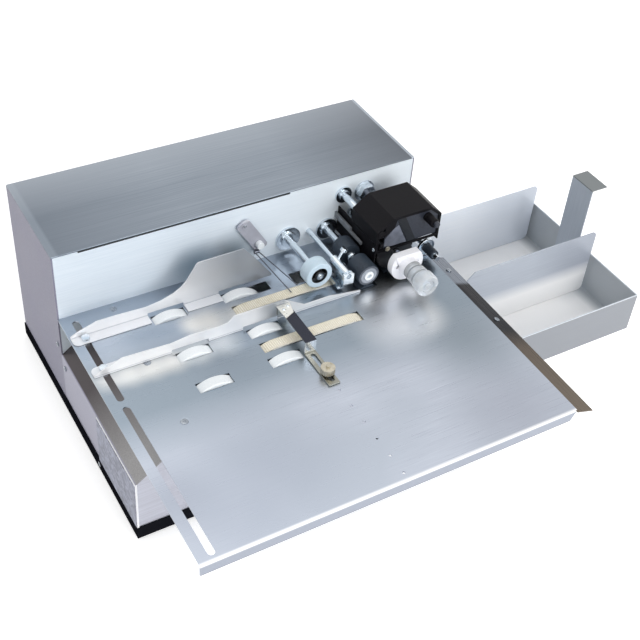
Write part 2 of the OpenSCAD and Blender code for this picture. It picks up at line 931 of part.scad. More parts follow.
// A flanged bearing on the housing front
module bearing(x, z, outer, bore) {
    difference() {
        union() {
            bar_y(x, z, outer, 0, bearing_flange_t);
            bar_y(x, z, outer * boss_share, 0, bearing_boss_l);
        }
        bar_y(x, z, bore, -cut_over, bearing_boss_l + cut_over);
    }
}

hex_r = 10.5;
hex_l = 9;

module bearing_flanges() {
    feed_bearing_r = 14;
    pull_bearing_r = 12.3;
    rod_bearing_r = 9.5;
    color(chrome) {
        bearing(feed_x, feed_z, feed_bearing_r, shaft_r + run_gap);
        bearing(pull_x, pull_z, pull_bearing_r, shaft_r + run_gap);
        bearing(print_x, print_z, feed_bearing_r, print_shaft_r + run_gap);
        bearing(rod_x, rod_z, rod_bearing_r, rod_r);
        translate([ink_pivot_x, 0, ink_pivot_z]) rotate([90, 0, 0]) difference() {
            union() {
                cylinder(r = hex_r, h = hex_l, $fn = 6);
                cylinder(r = hex_r + hub_step, h = hub_step);
            }
            translate([0, 0, -cut_over])
                cylinder(r = ink_pivot_r + run_gap, h = hex_l + cut_over * 2);
        }
    }
}

drum_front = drum_back + drum_l;
flange_back = 90;
flange_l = 8;
neck_l = 8;
knob_front = flange_back + flange_l + neck_l;

module print_shaft() {
    color(chrome)
        bar_y(print_x, print_z, print_shaft_r, -inner_reach, knob_front + knob_l / 2);
}

flutes = 24;
flute_w = 1.6;
flute_d = 1.2;

module print_drum() {
    color(satin_black) translate([print_x, -drum_back, print_z]) rotate([90, 0, 0])
        difference() {
            cylinder(r = drum_r, h = drum_l, $fn = 96);
            translate([0, 0, -cut_over]) cylinder(r = print_shaft_r, h = drum_l + cut_over * 2);
            for (i = [0:flutes - 1]) {
                rotate(i * 360 / flutes) translate([drum_r - flute_d, -flute_w / 2, -cut_over])
                    cube([flute_w + cut_over, flute_w, drum_l + cut_over * 2]);
            }
        }
}

neck_r = 10.2;
chord_share = 0.68;
pin_hole_r = 1.8;
pin_hole_share = 0.64;

module hand_flange() {
    color(white) translate([print_x, -flange_back, print_z]) rotate([90, 0, 0]) difference() {
        union() {
            cylinder(r = flange_r, h = flange_l, $fn = 96);
            cylinder(r = neck_r, h = flange_l + neck_l);
        }
        translate([-flange_r, flange_r * chord_share, -cut_over])
            cube([flange_r * 2, flange_r, flange_l + cut_over * 2]);
        translate([0, 0, -cut_over])
            cylinder(r = print_shaft_r, h = flange_l + neck_l + cut_over * 2);
        for (s = [-1, 1]) {
            translate([s * flange_r * pin_hole_share, 0, -cut_over])
                cylinder(r = pin_hole_r, h = flange_l + cut_over * 2);
        }
    }
}

// The knob's steps, as shares of its length and radius
knob_shares = [[0, 0.78], [0.2, 0.78], [0.2, 0.66], [0.26, 0.66], [0.26, 0.84], [0.46, 0.84],
    [0.46, 0.7], [0.56, 0.7], [0.56, 0.94], [0.62, 1], [0.92, 1], [1, 0.92]];

module hand_knob() {
    color(clear_knob, 0.6) translate([print_x, -knob_front, print_z]) rotate([90, 0, 0])
        rotate_extrude($fn = 96) polygon(concat([[print_shaft_r, 0]],
            [for (p = knob_shares) [p[1] * knob_r, p[0] * knob_l]],
            [[0, knob_l], [0, knob_l / 2], [print_shaft_r, knob_l / 2]]));
}

module impression_roller() {
    color(rubber) {
        bar_y(print_x, lower_z, lower_pull_r, drum_back, drum_front);
        bar_y(print_x, lower_z, shaft_r, -inner_reach, drum_back);
    }
}

arm_back = 30;
arm_t = 3;
arm_end_r = 7;

module ink_arm() {
    reach_x = ink_x - ink_pivot_x;
    reach_z = ink_z - ink_pivot_z;
    turn = atan2(reach_z, reach_x);
    color(zinc) {
        bar_y(ink_pivot_x, ink_pivot_z, ink_pivot_r, -inner_reach, arm_back);
        bar_y(ink_pivot_x, ink_pivot_z, arm_end_r, arm_back, arm_back + arm_t);
        bar_y(ink_x, ink_z, arm_end_r, arm_back, arm_back + arm_t);
        wall_y(arm_back, arm_t) translate([ink_pivot_x, ink_pivot_z]) rotate(turn)
            translate([0, -arm_end_r]) square([norm([reach_x, reach_z]), arm_end_r * 2]);
        bar_y(ink_x, ink_z, ink_axle_r, arm_back + arm_t, ink_back + ink_l);
    }
}

module ink_roll() {
    color(satin_black) difference() {
        bar_y(ink_x, ink_z, ink_r, ink_back, ink_back + ink_l);
        bar_y(ink_x, ink_z, ink_axle_r + run_gap, ink_back - cut_over,
            ink_back + ink_l + cut_over);
    }
}

cover_left_z = 57;
cover_left_run = 18;
cover_right_z = 58.5;
cover_right_run = 13;
cover_left_low = 42;
cover_bar_z = 30.5;
cover_bar_h = 3;
cover_rim = 3;
cover_back_low = 56;
cover_cutaway = 12;
mitre_share = 0.4;

// The cover's outer outline down to a given level, shrunk by a wall thickness
module cover_outline(low, wall) {
    top = cover_top - wall;
    polygon([[cover_x0 + wall, low], [cover_x0 + wall, cover_left_z - wall * mitre_share],
        [cover_x0 + cover_left_run + wall * mitre_share, top],
        [cover_x1 - cover_right_run - wall * mitre_share, top],
        [cover_x1 - wall, cover_right_z - wall * mitre_share], [cover_x1 - wall, low]]);
}

module head_cover() {
    color(satin_black) difference() {
        union() {
            wall_y(cover_back, cover_l) difference() {
                cover_outline(cover_low, 0);
                cover_outline(cover_low - cut_over, cover_t);
                translate([cover_x0 - cut_over, cover_low - cut_over])
                    square([cover_cutaway, cover_left_low - cover_low + cut_over]);
            }
            wall_y(cover_back, cover_t) difference() {
                cover_outline(cover_back_low, 0);
                translate([cover_x0 + cover_cutaway, 0])
                    square([cover_x1, cover_back_low]);
            }
            wall_y(cover_back, cover_t) intersection() {
                cover_outline(cover_left_low, 0);
                translate([cover_x0, cover_left_low]) square([cover_cutaway, cover_top]);
            }
            wall_y(cover_back + cover_l - cover_t, cover_t) difference() {
                cover_outline(cover_bar_z, 0);
                intersection() {
                    cover_outline(cover_bar_z + cover_bar_h, cover_rim);
                    translate([cover_x0, cover_bar_z + cover_bar_h])
                        square([cover_x1, cover_top]);
                }
            }
        }
        bar_y(rod_x, rod_z, rod_r + run_gap, cover_back - cut_over,
            cover_back + cover_l + cut_over);
    }
}

side_plate_x = 309.6;
side_plate_low = 8;
side_plate_high = 40;

module head_side_plate() {
    color(satin_black) {
        block([side_plate_x, -cover_back - cover_l + cover_t + move_gap, side_plate_low],
            [side_plate_x + cover_t, 0, side_plate_high]);
    }
}

module cover_rod() {
    color(chrome) bar_y(rod_x, rod_z, rod_r, -inner_reach, cover_back + cover_l);
}

module separator_rod() {
    color(chrome) bar_y(sep_x, sep_z, sep_r, -inner_reach, sep_front);
}

sep_collar_r = 5.5;
sep_collar_back = 53;
sep_collar_l = 9;
eye_w = 12;
eye_h = 14;
eye_t = 3;
leaf_t = 1;
leaf_low = 3;
leaf_x = 265;
pad_w = 7;
pad_h = 5;
sep_screw_r = 1.5;
sep_screw_lean = 30;
sep_screw_y = 57.5;
sep_head_r = 3.5;
sep_head_h = 4;
sep_screw_out = 8;

module separator_arm() {
    leaf_back = sep_collar_back + sep_collar_l;
    leaf_w = sep_front - leaf_back;
    color(polished) difference() {
        union() {
            bar_y(sep_x, sep_z, sep_collar_r, sep_collar_back, sep_front);
            wall_y(sep_front, eye_t) translate([sep_x - eye_w / 2, sep_z + eye_t - eye_h])
                round_rect(eye_w, eye_h, eye_t / 2);
            wall_y(leaf_back, leaf_w) polygon([[sep_x - leaf_t, sep_z - sep_r],
                [sep_x + leaf_t, sep_z - sep_r], [leaf_x + pad_w, leaf_low + leaf_t],
                [leaf_x + pad_w, leaf_low], [leaf_x, leaf_low], [leaf_x, leaf_low + leaf_t],
                [leaf_x + pad_w - leaf_t * 2, leaf_low + leaf_t]]);
            block([leaf_x, -leaf_back - leaf_w + leaf_t, leaf_low + leaf_t],
                [leaf_x + pad_w / 2, -leaf_back - leaf_t, leaf_low + pad_h]);
        }
        bar_y(sep_x, sep_z, sep_r + run_gap, sep_collar_back - cut_over,
            sep_front + eye_t + cut_over);
        sep_screw_bar(sep_screw_r, 0, sep_collar_r + cut_over);
    }
}

// A round bar square to the separator rod, from its axis outwards
module sep_screw_bar(r, from, to) {
    translate([sep_x, -sep_screw_y, sep_z]) rotate([0, sep_screw_lean, 0])
        translate([0, 0, from]) cylinder(r = r, h = to - from);
}

module separator_screw() {
    color(chrome) {
        sep_screw_bar(sep_screw_r, sep_r + run_gap, sep_collar_r + sep_screw_out);
        sep_screw_bar(sep_head_r, sep_collar_r + sep_screw_out,
            sep_collar_r + sep_screw_out + sep_head_h);
    }
}

bar_nose_l = 21;

module tension_bar() {
    step_y = bar_front - bar_nose_l;
    color(polished) {
        block([bar_x, -step_y, bar_z], [bar_x + bar_w, inner_reach, bar_z + bar_h]);
        block([bar_x, -bar_front, bar_z], [bar_x + bar_w, -step_y, bar_z + bar_h / 2]);
    }
}

// Runs its children in the lever's own plane: x across it, y down along it
module on_lever(back, thick) {
    wall_y(back, thick) translate([lever_x, lever_z]) rotate(lever_tilt) children();
}

lever_end_in = 5;
lever_screw_in = 10;
lever_boss_r = 4;
lever_screw_r = 1.8;
lever_head_r = 4;
lever_head_l = 6;
wire_block_back = 6;

module lever_bar() {
    color(zinc) difference() {
        union() {
            on_lever(lever_off, lever_t) translate([-lever_w / 2, -lever_l])
                round_rect(lever_w, lever_l, lever_round);
            on_lever(0, lever_off) translate([0, -lever_end_in]) circle(r = lever_boss_r);
            on_lever(lever_off + lever_t, screw_head_h)
                translate([0, -lever_end_in]) circle(r = screw_head_r);
            on_lever(lever_off + lever_t, wire_block_back - lever_off - lever_t)
                translate([-lever_w / 2, -lever_l + lever_round])
                    square([lever_round, lever_round]);
        }
        on_lever(lever_off - cut_over, lever_t + cut_over * 2)
            translate([0, -lever_l + lever_screw_in]) circle(r = lever_screw_r + run_gap);
    }
}

module lever_screw() {
    color(white) {
        on_lever(lever_off - lever_t + move_gap, lever_t * 2 + cut_over)
            translate([0, -lever_l + lever_screw_in]) circle(r = lever_screw_r);
        on_lever(lever_off + lever_t + move_gap, lever_head_l)
            translate([0, -lever_l + lever_screw_in]) circle(r = lever_head_r);
    }
}

wire_r = 0.6;
wire_y = 8.3;
wire_z = 18.5;
wire_x = 207;
wire_bar_r = 2;
wire_bar_l = 5;
wire_tips = [[220.6, 64], [231.5, 57]];
wire_tip_z = 3.2;

module finger_wires() {
    color(chrome) {
        translate([wire_x, -wire_y, wire_z]) rotate([0, 90, 0])
            cylinder(r = wire_bar_r, h = wire_bar_l);
        wire([wire_x + wire_r, -wire_y, wire_z], [wire_tips[0][0], -wire_tips[0][1], wire_tip_z],
            wire_r);
        wire([wire_x + wire_bar_l - wire_r, -wire_y, wire_z],
            [wire_tips[1][0], -wire_tips[1][1], wire_tip_z], wire_r);
    }
}

exit_ring_back = 66;
exit_ring_l = 3;
exit_body_r = 4.8;
exit_body_l = 15;
exit_tip_r = 2.8;
exit_tip_l = 6;

module exit_roller() {
    body_front = exit_ring_back + exit_ring_l + exit_body_l;
    color(chrome) bar_y(exit_x, exit_z, exit_shaft_r, -inner_reach, body_front);
    color(chrome) bar_y(exit_x, exit_z, exit_ring_r, exit_ring_back,
        exit_ring_back + exit_ring_l);
    color(rubber) bar_y(exit_x, exit_z, exit_body_r, exit_ring_back + exit_ring_l, body_front);
    color(chrome) bar_y(exit_x, exit_z, exit_tip_r, body_front, body_front + exit_tip_l);
}

module tray() {
    front = -cab_front;
    back = front + tray_d;
    color(brushed) difference() {
        block([body_l, front, tray_z], [tray_x, back, tray_z + tray_h]);
        block([body_l + tray_t, front + tray_t, tray_z + tray_t],
            [tray_x - tray_t, back - tray_t, tray_z + tray_h + cut_over]);
    }
}

// A tray divider: an upright sheet with a foot along its back
module divider(y, high) {
    low = tray_z + tray_t + move_gap;
    color(brushed) {
        wall_y(y, tray_t) translate([divider_x, low]) difference() {
            union() {
                square([divider_l - divider_round, high]);
                translate([0, divider_round]) square([divider_l, high - divider_round * 2]);
                for (z = [divider_round, high - divider_round]) {
                    translate([divider_l - divider_round, z]) circle(r = divider_round);
                }
            }
            translate([0, high]) rotate(45)
                square([divider_round * 2, divider_round * 2], center = true);
        }
        block([divider_x, -y, low], [divider_x + divider_l - divider_round, -y + divider_foot,
            low + tray_t]);
    }
}

module front_divider() {
    divider(front_divider_y, front_divider_h);
}

module back_divider() {
    divider(back_divider_y, back_divider_h);
}

module tray_stop() {
    low = tray_z + tray_t + move_gap;
    color(brushed) {
        block([stop_x, -stop_y - stop_w, low], [stop_x + tray_t, -stop_y, low + stop_h]);
        block([stop_x, -stop_y - stop_w, low + stop_h - tray_t],
            [stop_x + stop_flange, -stop_y, low + stop_h]);
        block([stop_x - stop_foot, -stop_y - stop_w, low], [stop_x, -stop_y, low + tray_t]);
    }
}

gearbox_l = 31;
motor_r = 26;

module gear_motor() {
    color(black) difference() {
        union() {
            block([drive_x - motor_w / 2, sheet_t, under_z - motor_high / 2],
                [drive_x + motor_w / 2, sheet_t + gearbox_l, under_z + motor_high / 2]);
            bar_y(drive_x, under_z, motor_r, -sheet_t - motor_l, -sheet_t - gearbox_l);
        }
        bar_y(drive_x, under_z, under_shaft_r + run_gap, -motor_shaft_in - cut_over,
            -sheet_t + cut_over);
    }
}

rocker_gap = 0.4;
rocker_half = 5.5;
rocker_pivot = 5;
rocker_deep = 9;
pin_w = 1.6;
pin_high = 3.2;
pin_l = 11;
pin_pitch = 7;
earth_pin_up = 3;
switch_deep = 12;
trunnion_r = 1.2;

// The rocker's side view about its pivot: outwards and up, as shares of its half height
rocker_shares = [[-0.3, -0.8], [0.65, -1], [1, 0], [1.3, 1], [-0.3, 0.8]];

module inlet_socket() {
    back = body_d + inlet_flange;
    color(black) {
        difference() {
            union() {
                block([inlet_x - inlet_w / 2, body_d, inlet_z - inlet_high / 2],
                    [inlet_x + inlet_w / 2, back, inlet_z + inlet_high / 2]);
                block([inlet_x - inlet_w / 2 + inlet_flange, back - inlet_deep,
                    inlet_z - inlet_high / 2 + inlet_flange],
                    [inlet_x + inlet_w / 2 - inlet_flange, back,
                    inlet_z + inlet_high / 2 - inlet_flange]);
            }
            block([inlet_x - socket_w / 2, back - socket_deep, inlet_z - socket_high / 2],
                [inlet_x + socket_w / 2, back + cut_over, inlet_z + socket_high / 2]);
        }
        for (s = [-1, 0, 1]) {
            translate([inlet_x + s * pin_pitch - pin_w / 2, back - socket_deep,
                inlet_z + (1 - s * s) * earth_pin_up - pin_w])
                cube([pin_w, pin_l, pin_high]);
        }
    }
    color(black) difference() {
        union() {
            block([switch_x - switch_w / 2, body_d, inlet_z - switch_high / 2],
                [switch_x + switch_w / 2, back, inlet_z + switch_high / 2]);
            block([switch_x - switch_w / 2 + inlet_flange, back - switch_deep,
                inlet_z - switch_high / 2 + inlet_flange],
                [switch_x + switch_w / 2 - inlet_flange, back,
                inlet_z + switch_high / 2 - inlet_flange]);
        }
        block([switch_x - switch_w / 2 + inlet_flange + rocker_gap, back - rocker_deep,
            inlet_z - switch_high / 2 + inlet_flange + rocker_gap],
            [switch_x + switch_w / 2 - inlet_flange - rocker_gap, back + cut_over,
            inlet_z + switch_high / 2 - inlet_flange - rocker_gap]);
    }
}

module power_switch() {
    back = body_d + inlet_flange;
    half = switch_w / 2 - inlet_flange - rocker_gap * 2;
    color(rubber) {
        translate([switch_x - half, back - rocker_pivot, inlet_z])
            rotate([90, 0, 90]) linear_extrude(half * 2) polygon(rocker_half * rocker_shares);
        translate([switch_x - half - move_gap, back - rocker_pivot, inlet_z])
            rotate([0, 90, 0]) cylinder(r = trunnion_r, h = (half + move_gap) * 2);
    }
}

in_frame() base_pan();
in_frame() rubber_feet();
in_frame() left_end_panel();
in_frame() right_end_panel();
in_frame() back_panel();
in_frame() top_cover();
in_frame() housing_front_plate();
in_frame() left_lower_panel();
in_frame() right_lower_panel();
in_frame() lower_front_panel();
in_frame() side_access_plate();
in_frame() table_plate();
in_frame() exit_strip();
in_frame() panel_screws();
in_frame() back_guide();
in_frame() back_guide_clamp();
in_frame() front_guide();
in_frame() guide_strap();
in_frame() front_guide_clamp();
in_frame() guide_thumb_nut();
in_frame() left_feed_wheels();
in_frame() right_feed_wheels();
in_frame() wheel_shaft();
in_frame() belt_drive_shaft();
in_frame() belt_idler_shaft();
in_frame() back_feed_belt();
in_frame() front_feed_belt();
in_frame() front_bearing_plate();
in_frame() feed_shaft();
in_frame() feed_roller_hub();
in_frame() feed_roller_tyre();
in_frame() pull_shaft();
in_frame() pull_rollers();
in_frame() lower_pull_roller();
in_frame() bearing_flanges();
in_frame() print_shaft();
in_frame() print_drum();
in_frame() hand_flange();
in_frame() hand_knob();
in_frame() impression_roller();
in_frame() ink_arm();
in_frame() ink_roll();
in_frame() head_cover();
in_frame() head_side_plate();
in_frame() cover_rod();
in_frame() separator_rod();
in_frame() separator_arm();
in_frame() separator_screw();
in_frame() tension_bar();
in_frame() lever_bar();
in_frame() finger_wires();
in_frame() lever_screw();
in_frame() exit_roller();
in_frame() tray();
in_frame() front_divider();
in_frame() back_divider();
in_frame() tray_stop();
in_frame() gear_motor();
in_frame() inlet_socket();
in_frame() power_switch();
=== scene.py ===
import math

import bmesh
import bpy
from mathutils import Matrix, Vector


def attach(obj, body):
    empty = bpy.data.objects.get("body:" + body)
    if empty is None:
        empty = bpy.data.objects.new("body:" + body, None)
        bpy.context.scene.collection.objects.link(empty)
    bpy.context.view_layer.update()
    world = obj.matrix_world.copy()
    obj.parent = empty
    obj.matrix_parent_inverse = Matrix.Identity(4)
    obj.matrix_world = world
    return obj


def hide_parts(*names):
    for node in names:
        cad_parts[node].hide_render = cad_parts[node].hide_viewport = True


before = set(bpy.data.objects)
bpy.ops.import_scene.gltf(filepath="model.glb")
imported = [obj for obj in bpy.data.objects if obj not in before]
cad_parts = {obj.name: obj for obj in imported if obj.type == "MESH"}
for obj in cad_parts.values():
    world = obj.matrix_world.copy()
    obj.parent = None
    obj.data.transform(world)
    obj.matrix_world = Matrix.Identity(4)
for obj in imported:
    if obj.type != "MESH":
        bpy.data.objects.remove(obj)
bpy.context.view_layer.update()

# Camera, floor and lamps

# The machine was photographed from above its front left corner on a white sweep, under
# large soft lights. The camera stands there, and the floor keeps a soft shadow.


def spot(x, y, z):
    """A place in metres, from mm along the housing, behind its front and above the table."""
    return Vector(((x - 304.05) / 1000, (y + 95.25) / 1000, (z + 126.6) / 1000))


def linear(hex_colour):
    """The linear numbers of an sRGB hex colour."""
    parts = [int(hex_colour[i:i + 2], 16) / 255 for i in (1, 3, 5)]
    return tuple(p / 12.92 if p <= 0.04045 else ((p + 0.055) / 1.055) ** 2.4
                 for p in parts) + (1.0,)


def add_node(tree, kind, inputs=None, stops=(), **settings):
    """Adds one node: settings are its properties, inputs its sockets' values or links, and
    stops the places and colours along a ramp."""
    node = tree.nodes.new("ShaderNode" + kind)
    for name, value in settings.items():
        setattr(node, name, value)
    for place, colour in stops[1:-1]:
        node.color_ramp.elements.new(place)
    for index, (place, colour) in enumerate(stops):
        node.color_ramp.elements[index].position = place
        node.color_ramp.elements[index].color = linear(colour)
    for socket, value in (inputs or {}).items():
        if isinstance(value, bpy.types.NodeSocket):
            tree.links.new(value, node.inputs[socket])
        else:
            node.inputs[socket].default_value = value
    return node


def start_clean():
    """Leaves edit mode and lets go of everything."""
    if bpy.context.mode != "OBJECT":
        bpy.ops.object.mode_set(mode="OBJECT")
    bpy.ops.object.select_all(action="DESELECT")


def seen_directly(tree):
    """One for what the camera sees, in a mirror or through glass too, and none elsewhere."""
    path = add_node(tree, "LightPath")
    seen = path.outputs["Is Camera Ray"]
    for kind in ("Is Glossy Ray", "Is Transmission Ray"):
        either = add_node(tree, "Math", {0: seen, 1: path.outputs[kind]}, operation="MAXIMUM")
        seen = either.outputs[0]
    return seen


# The camera's angles and place were fitted to the corners of the cabinet, table and tray
turn, tip, roll = math.radians(33.2557), math.radians(42.0764), math.radians(5.2224)
ahead = Vector((math.sin(turn) * math.cos(tip), math.cos(turn) * math.cos(tip), -math.sin(tip)))
right = Vector((math.cos(turn), -math.sin(turn), 0))
up = right.cross(ahead)
camera_x = right * math.cos(roll) + up * math.sin(roll)
camera_y = up * math.cos(roll) - right * math.sin(roll)
camera_data = bpy.data.cameras.new("camera")
camera_data.sensor_width = 36
camera_data.lens = 63.756
camera = bpy.data.objects.new("camera", camera_data)
camera.matrix_world = Matrix.Translation(spot(-224.4, -799.2, 744.9)) @ Matrix(
    (camera_x, camera_y, -ahead)).transposed().to_4x4()
bpy.context.collection.objects.link(camera)
bpy.context.scene.camera = camera

start_clean()
bpy.ops.mesh.primitive_plane_add(size=30, location=(0, 0, 0))
floor = bpy.context.object
floor.name = "floor"
paper = bpy.data.materials.new("white_paper_sweep")
paper.use_nodes = True
tree = paper.node_tree
tree.nodes.clear()
# The paper glows a little where it is seen, so that it stays white around the machine
paper_glow = 0.5
lift = add_node(tree, "Math", {0: seen_directly(tree), 1: paper_glow}, operation="MULTIPLY")
matt = add_node(tree, "BsdfDiffuse", {"Color": linear("#f0f0f0")})
glow = add_node(tree, "Emission", {"Color": linear("#ffffff"), "Strength": lift.outputs[0]})
both = add_node(tree, "AddShader", {0: matt.outputs[0], 1: glow.outputs[0]})
add_node(tree, "OutputMaterial", {"Surface": both.outputs[0]})
floor.data.materials.append(paper)

world = bpy.data.worlds.new("studio")
bpy.context.scene.world = world
world.use_nodes = True
tree = world.node_tree
tree.nodes.clear()
# The white room lights the machine with about half of what the metal mirrors of it
room_light = 0.55
strength = add_node(tree, "MapRange", {"Value": seen_directly(tree), "To Min": room_light,
                                       "To Max": 1.0})
sky = add_node(tree, "Background", {"Color": linear("#ffffff"),
                                    "Strength": strength.outputs[0]})
add_node(tree, "OutputWorld", {"Surface": sky.outputs[0]})

# Each lamp: name, place, what it points at, side in metres, watts
lamps = [("overhead_softbox", (-0.3, 0.3, 2.4), (0, 0, 0), 3.4, 20),
         ("front_softbox", (0.5, -2.6, 1.2), (0, 0, 0.1), 1.8, 46),
         ("left_softbox", (-2.2, -1.2, 1.2), (0, 0, 0.1), 1.2, 5)]
for name, place, target, side, watts in lamps:
    lamp = bpy.data.lights.new(name, "AREA")
    lamp.shape = "SQUARE"
    lamp.size = side
    lamp.energy = watts
    lamp_object = bpy.data.objects.new(name, lamp)
    lamp_object.location = place
    lamp_object.rotation_euler = (Vector(target) - Vector(place)).to_track_quat(
        "-Z", "Y").to_euler()
    bpy.context.collection.objects.link(lamp_object)
bpy.context.scene.view_settings.view_transform = "Standard"

# Base pan and feet

# A folded steel tray under the whole cabinet, powder coated black, with four moulded
# rubber feet screwed to it.


def start_finish(name, metallic, roughness, **sockets):
    """A new material, its node tree, its one shader with its constants on the shader's own
    sockets, and the socket that gives the place on the piece."""
    finish = bpy.data.materials.new(name)
    finish.use_nodes = True
    tree = finish.node_tree
    tree.nodes.clear()
    surface = add_node(tree, "BsdfPrincipled", {"Metallic": metallic, "Roughness": roughness})
    for socket, value in sockets.items():
        surface.inputs[socket.replace("_", " ")].default_value = value
    add_node(tree, "OutputMaterial", {"Surface": surface.outputs[0]})
    return finish, tree, surface, add_node(tree, "TexCoord").outputs["Object"]


def work_up(tree, surface, tone, gloss, relief=None):
    """Gives a surface its tone, its gloss and its relief. The gloss is a pattern, where it
    starts and ends, and the roughness there; the relief is a pattern, a strength and mm."""
    tree.links.new(tone, surface.inputs["Base Color"])
    pattern, start, end, low, high = gloss
    rough = add_node(tree, "MapRange", {"Value": pattern, "From Min": start, "From Max": end,
                                        "To Min": low, "To Max": high})
    tree.links.new(rough.outputs[0], surface.inputs["Roughness"])
    if relief:
        pattern, strength, depth_mm = relief
        bump = add_node(tree, "Bump", {"Height": pattern, "Strength": strength,
                                       "Distance": depth_mm / 1000})
        tree.links.new(bump.outputs[0], surface.inputs["Normal"])


def grainy(name, low_colour, high_colour, grain_mm, depth_mm, metallic, roughness, **sockets):
    """A finish with an even fine grain, such as powder coat, rubber or a moulded skin, in
    slow clouds about 40 mm across."""
    finish, tree, surface, place = start_finish(name, metallic, roughness, **sockets)
    grain = add_node(tree, "TexNoise", {"Vector": place, "Scale": 1000 / grain_mm,
                                        "Detail": 2.0}).outputs["Fac"]
    cloud = add_node(tree, "TexNoise", {"Vector": place, "Scale": 1000 / 40,
                                        "Detail": 3.0}).outputs["Fac"]
    mixed = add_node(tree, "Math", {0: grain, 1: cloud}, operation="ADD")
    halved = add_node(tree, "Math", {0: mixed.outputs[0], 1: 0.5}, operation="MULTIPLY")
    tone = add_node(tree, "ValToRGB", {"Fac": halved.outputs[0]},
                    ((0.38, low_colour), (0.62, high_colour)))
    work_up(tree, surface, tone.outputs["Color"],
            (cloud, 0.3, 0.7, roughness * 0.9, min(1.0, roughness * 1.1)),
            (grain, 0.4, depth_mm))
    return finish


def dress(finish, *nodes):
    """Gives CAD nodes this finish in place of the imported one."""
    for node in nodes:
        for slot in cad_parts[node].material_slots:
            slot.material = finish


# Powder coat: an orange-peel skin, its 1.2 mm ripple drawn as it is, soft low gloss
black_powder_coat = grainy("black_powder_coat", "#15161b", "#1d1e23", 1.2, 0.03, 0.0, 0.65,
                           Specular_IOR_Level=0.0)
# Moulded rubber: matt, a 0.8 mm skin texture, faintly dusty on its high points
moulded_rubber = grainy("moulded_black_rubber", "#26282c", "#34373c", 0.8, 0.03, 0.0, 0.7)
dress(black_powder_coat, "base_pan")
dress(moulded_rubber, "rubber_feet")

# Cabinet panels

# Folded 1.5 mm sheet: painted end and back panels with a lilac-grey hammer finish, and
# brushed stainless sides and front under the table. A galvanised plate closes the left.

# Baked hammer paint: 1.5 mm dimples break up its half gloss
end_paint = grainy("lilac_grey_paint", "#807f91", "#8c8b9d", 1.5, 0.02, 0.15, 0.5)
dress(end_paint, "left_end_panel", "right_end_panel", "back_panel")


def brushed(name, low_colour, high_colour, roughness, along="x", line_mm=0.9, run_mm=70,
            depth_mm=0.006, cloud_colour=None, metallic=1.0):
    """Brushed sheet: long fine lines along one way, drawn wider than the real 0.1 mm so
    that they show. A cloud colour lies over them in patches about 110 mm across."""
    finish, tree, surface, place = start_finish(name, metallic, roughness)
    stretch = tuple(1000 / (run_mm if axis == along else line_mm) for axis in "xyz")
    lines = add_node(tree, "Mapping", {"Vector": place, "Scale": stretch})
    grain = add_node(tree, "TexNoise", {"Vector": lines.outputs[0], "Scale": 1.0,
                                        "Detail": 3.0, "Roughness": 0.65}).outputs["Fac"]
    tone = add_node(tree, "ValToRGB", {"Fac": grain},
                    ((0.3, low_colour), (0.7, high_colour))).outputs["Color"]
    if cloud_colour:
        cloud = add_node(tree, "TexNoise", {"Vector": place, "Scale": 9.0, "Detail": 2.0})
        patch = add_node(tree, "MapRange", {"Value": cloud.outputs["Fac"], "From Min": 0.4,
                                            "From Max": 0.65})
        tone = add_node(tree, "MixRGB", {"Fac": patch.outputs[0], "Color1": tone,
                                         "Color2": linear(cloud_colour)}).outputs[0]
    work_up(tree, surface, tone, (grain, 0.25, 0.75, roughness * 0.85, roughness * 1.2),
            (grain, 0.5, depth_mm))
    return finish


# Brushed stainless: lines along each sheet that draw its highlights out across them
lower_steel = brushed("brushed_stainless_lower", "#8b909c", "#9da2ae", 0.38)
dress(lower_steel, "right_lower_panel")
front_lower_steel = brushed("brushed_stainless_lower_front", "#b3b4be", "#c6c8d2", 0.38)
dress(front_lower_steel, "lower_front_panel")


def galvanised(name, low_colour, high_colour, spangle_mm, roughness):
    """Zinc-dipped sheet: crystal spangles, each of its own slight tone and gloss."""
    finish, tree, surface, place = start_finish(name, 1.0, roughness)
    spangle = add_node(tree, "TexVoronoi", {"Vector": place, "Scale": 1000 / spangle_mm})
    grey = add_node(tree, "RGBToBW", {"Color": spangle.outputs["Color"]}).outputs[0]
    tone = add_node(tree, "ValToRGB", {"Fac": grey}, ((0.1, low_colour), (0.9, high_colour)))
    work_up(tree, surface, tone.outputs["Color"],
            (grey, 0.0, 1.0, roughness * 0.8, roughness * 1.3),
            (spangle.outputs["Distance"], 0.2, 0.02))
    return finish


# Galvanised steel: spangles about 3 mm across
dipped_zinc = galvanised("galvanised_sheet", "#7d818c", "#a3a7b1", 3.0, 0.42)
dress(dipped_zinc, "front_bearing_plate")
# The side plate is older stock, greyer and blotchier
dull_zinc = galvanised("dull_galvanised_sheet", "#666976", "#a3a6b5", 3.6, 0.45)
dress(dull_zinc, "side_access_plate")


def base_tone(finish):
    """A finish's node tree, its shader and the socket that colours the shader."""
    tree = finish.node_tree
    surface = next(node for node in tree.nodes if node.type == "BSDF_PRINCIPLED")
    return tree, surface, surface.inputs["Base Color"].links[0].from_socket


def shade_to(finish, colour, axis, start, end, most=1.0):
    """Blends a finish into another tone along one axis, from start to end in mm."""
    tree, surface, tone = base_tone(finish)
    place = add_node(tree, "TexCoord")
    axes = add_node(tree, "SeparateXYZ", {"Vector": place.outputs["Object"]})
    index = "XYZ".index(axis)
    part = add_node(tree, "MapRange", {"Value": axes.outputs[axis],
                                       "From Min": spot(start, start, start)[index],
                                       "From Max": spot(end, end, end)[index],
                                       "To Max": most})
    mixed = add_node(tree, "MixRGB", {"Fac": part.outputs[0], "Color1": tone,
                                      "Color2": linear(colour)})
    tree.links.new(mixed.outputs[0], surface.inputs["Base Color"])


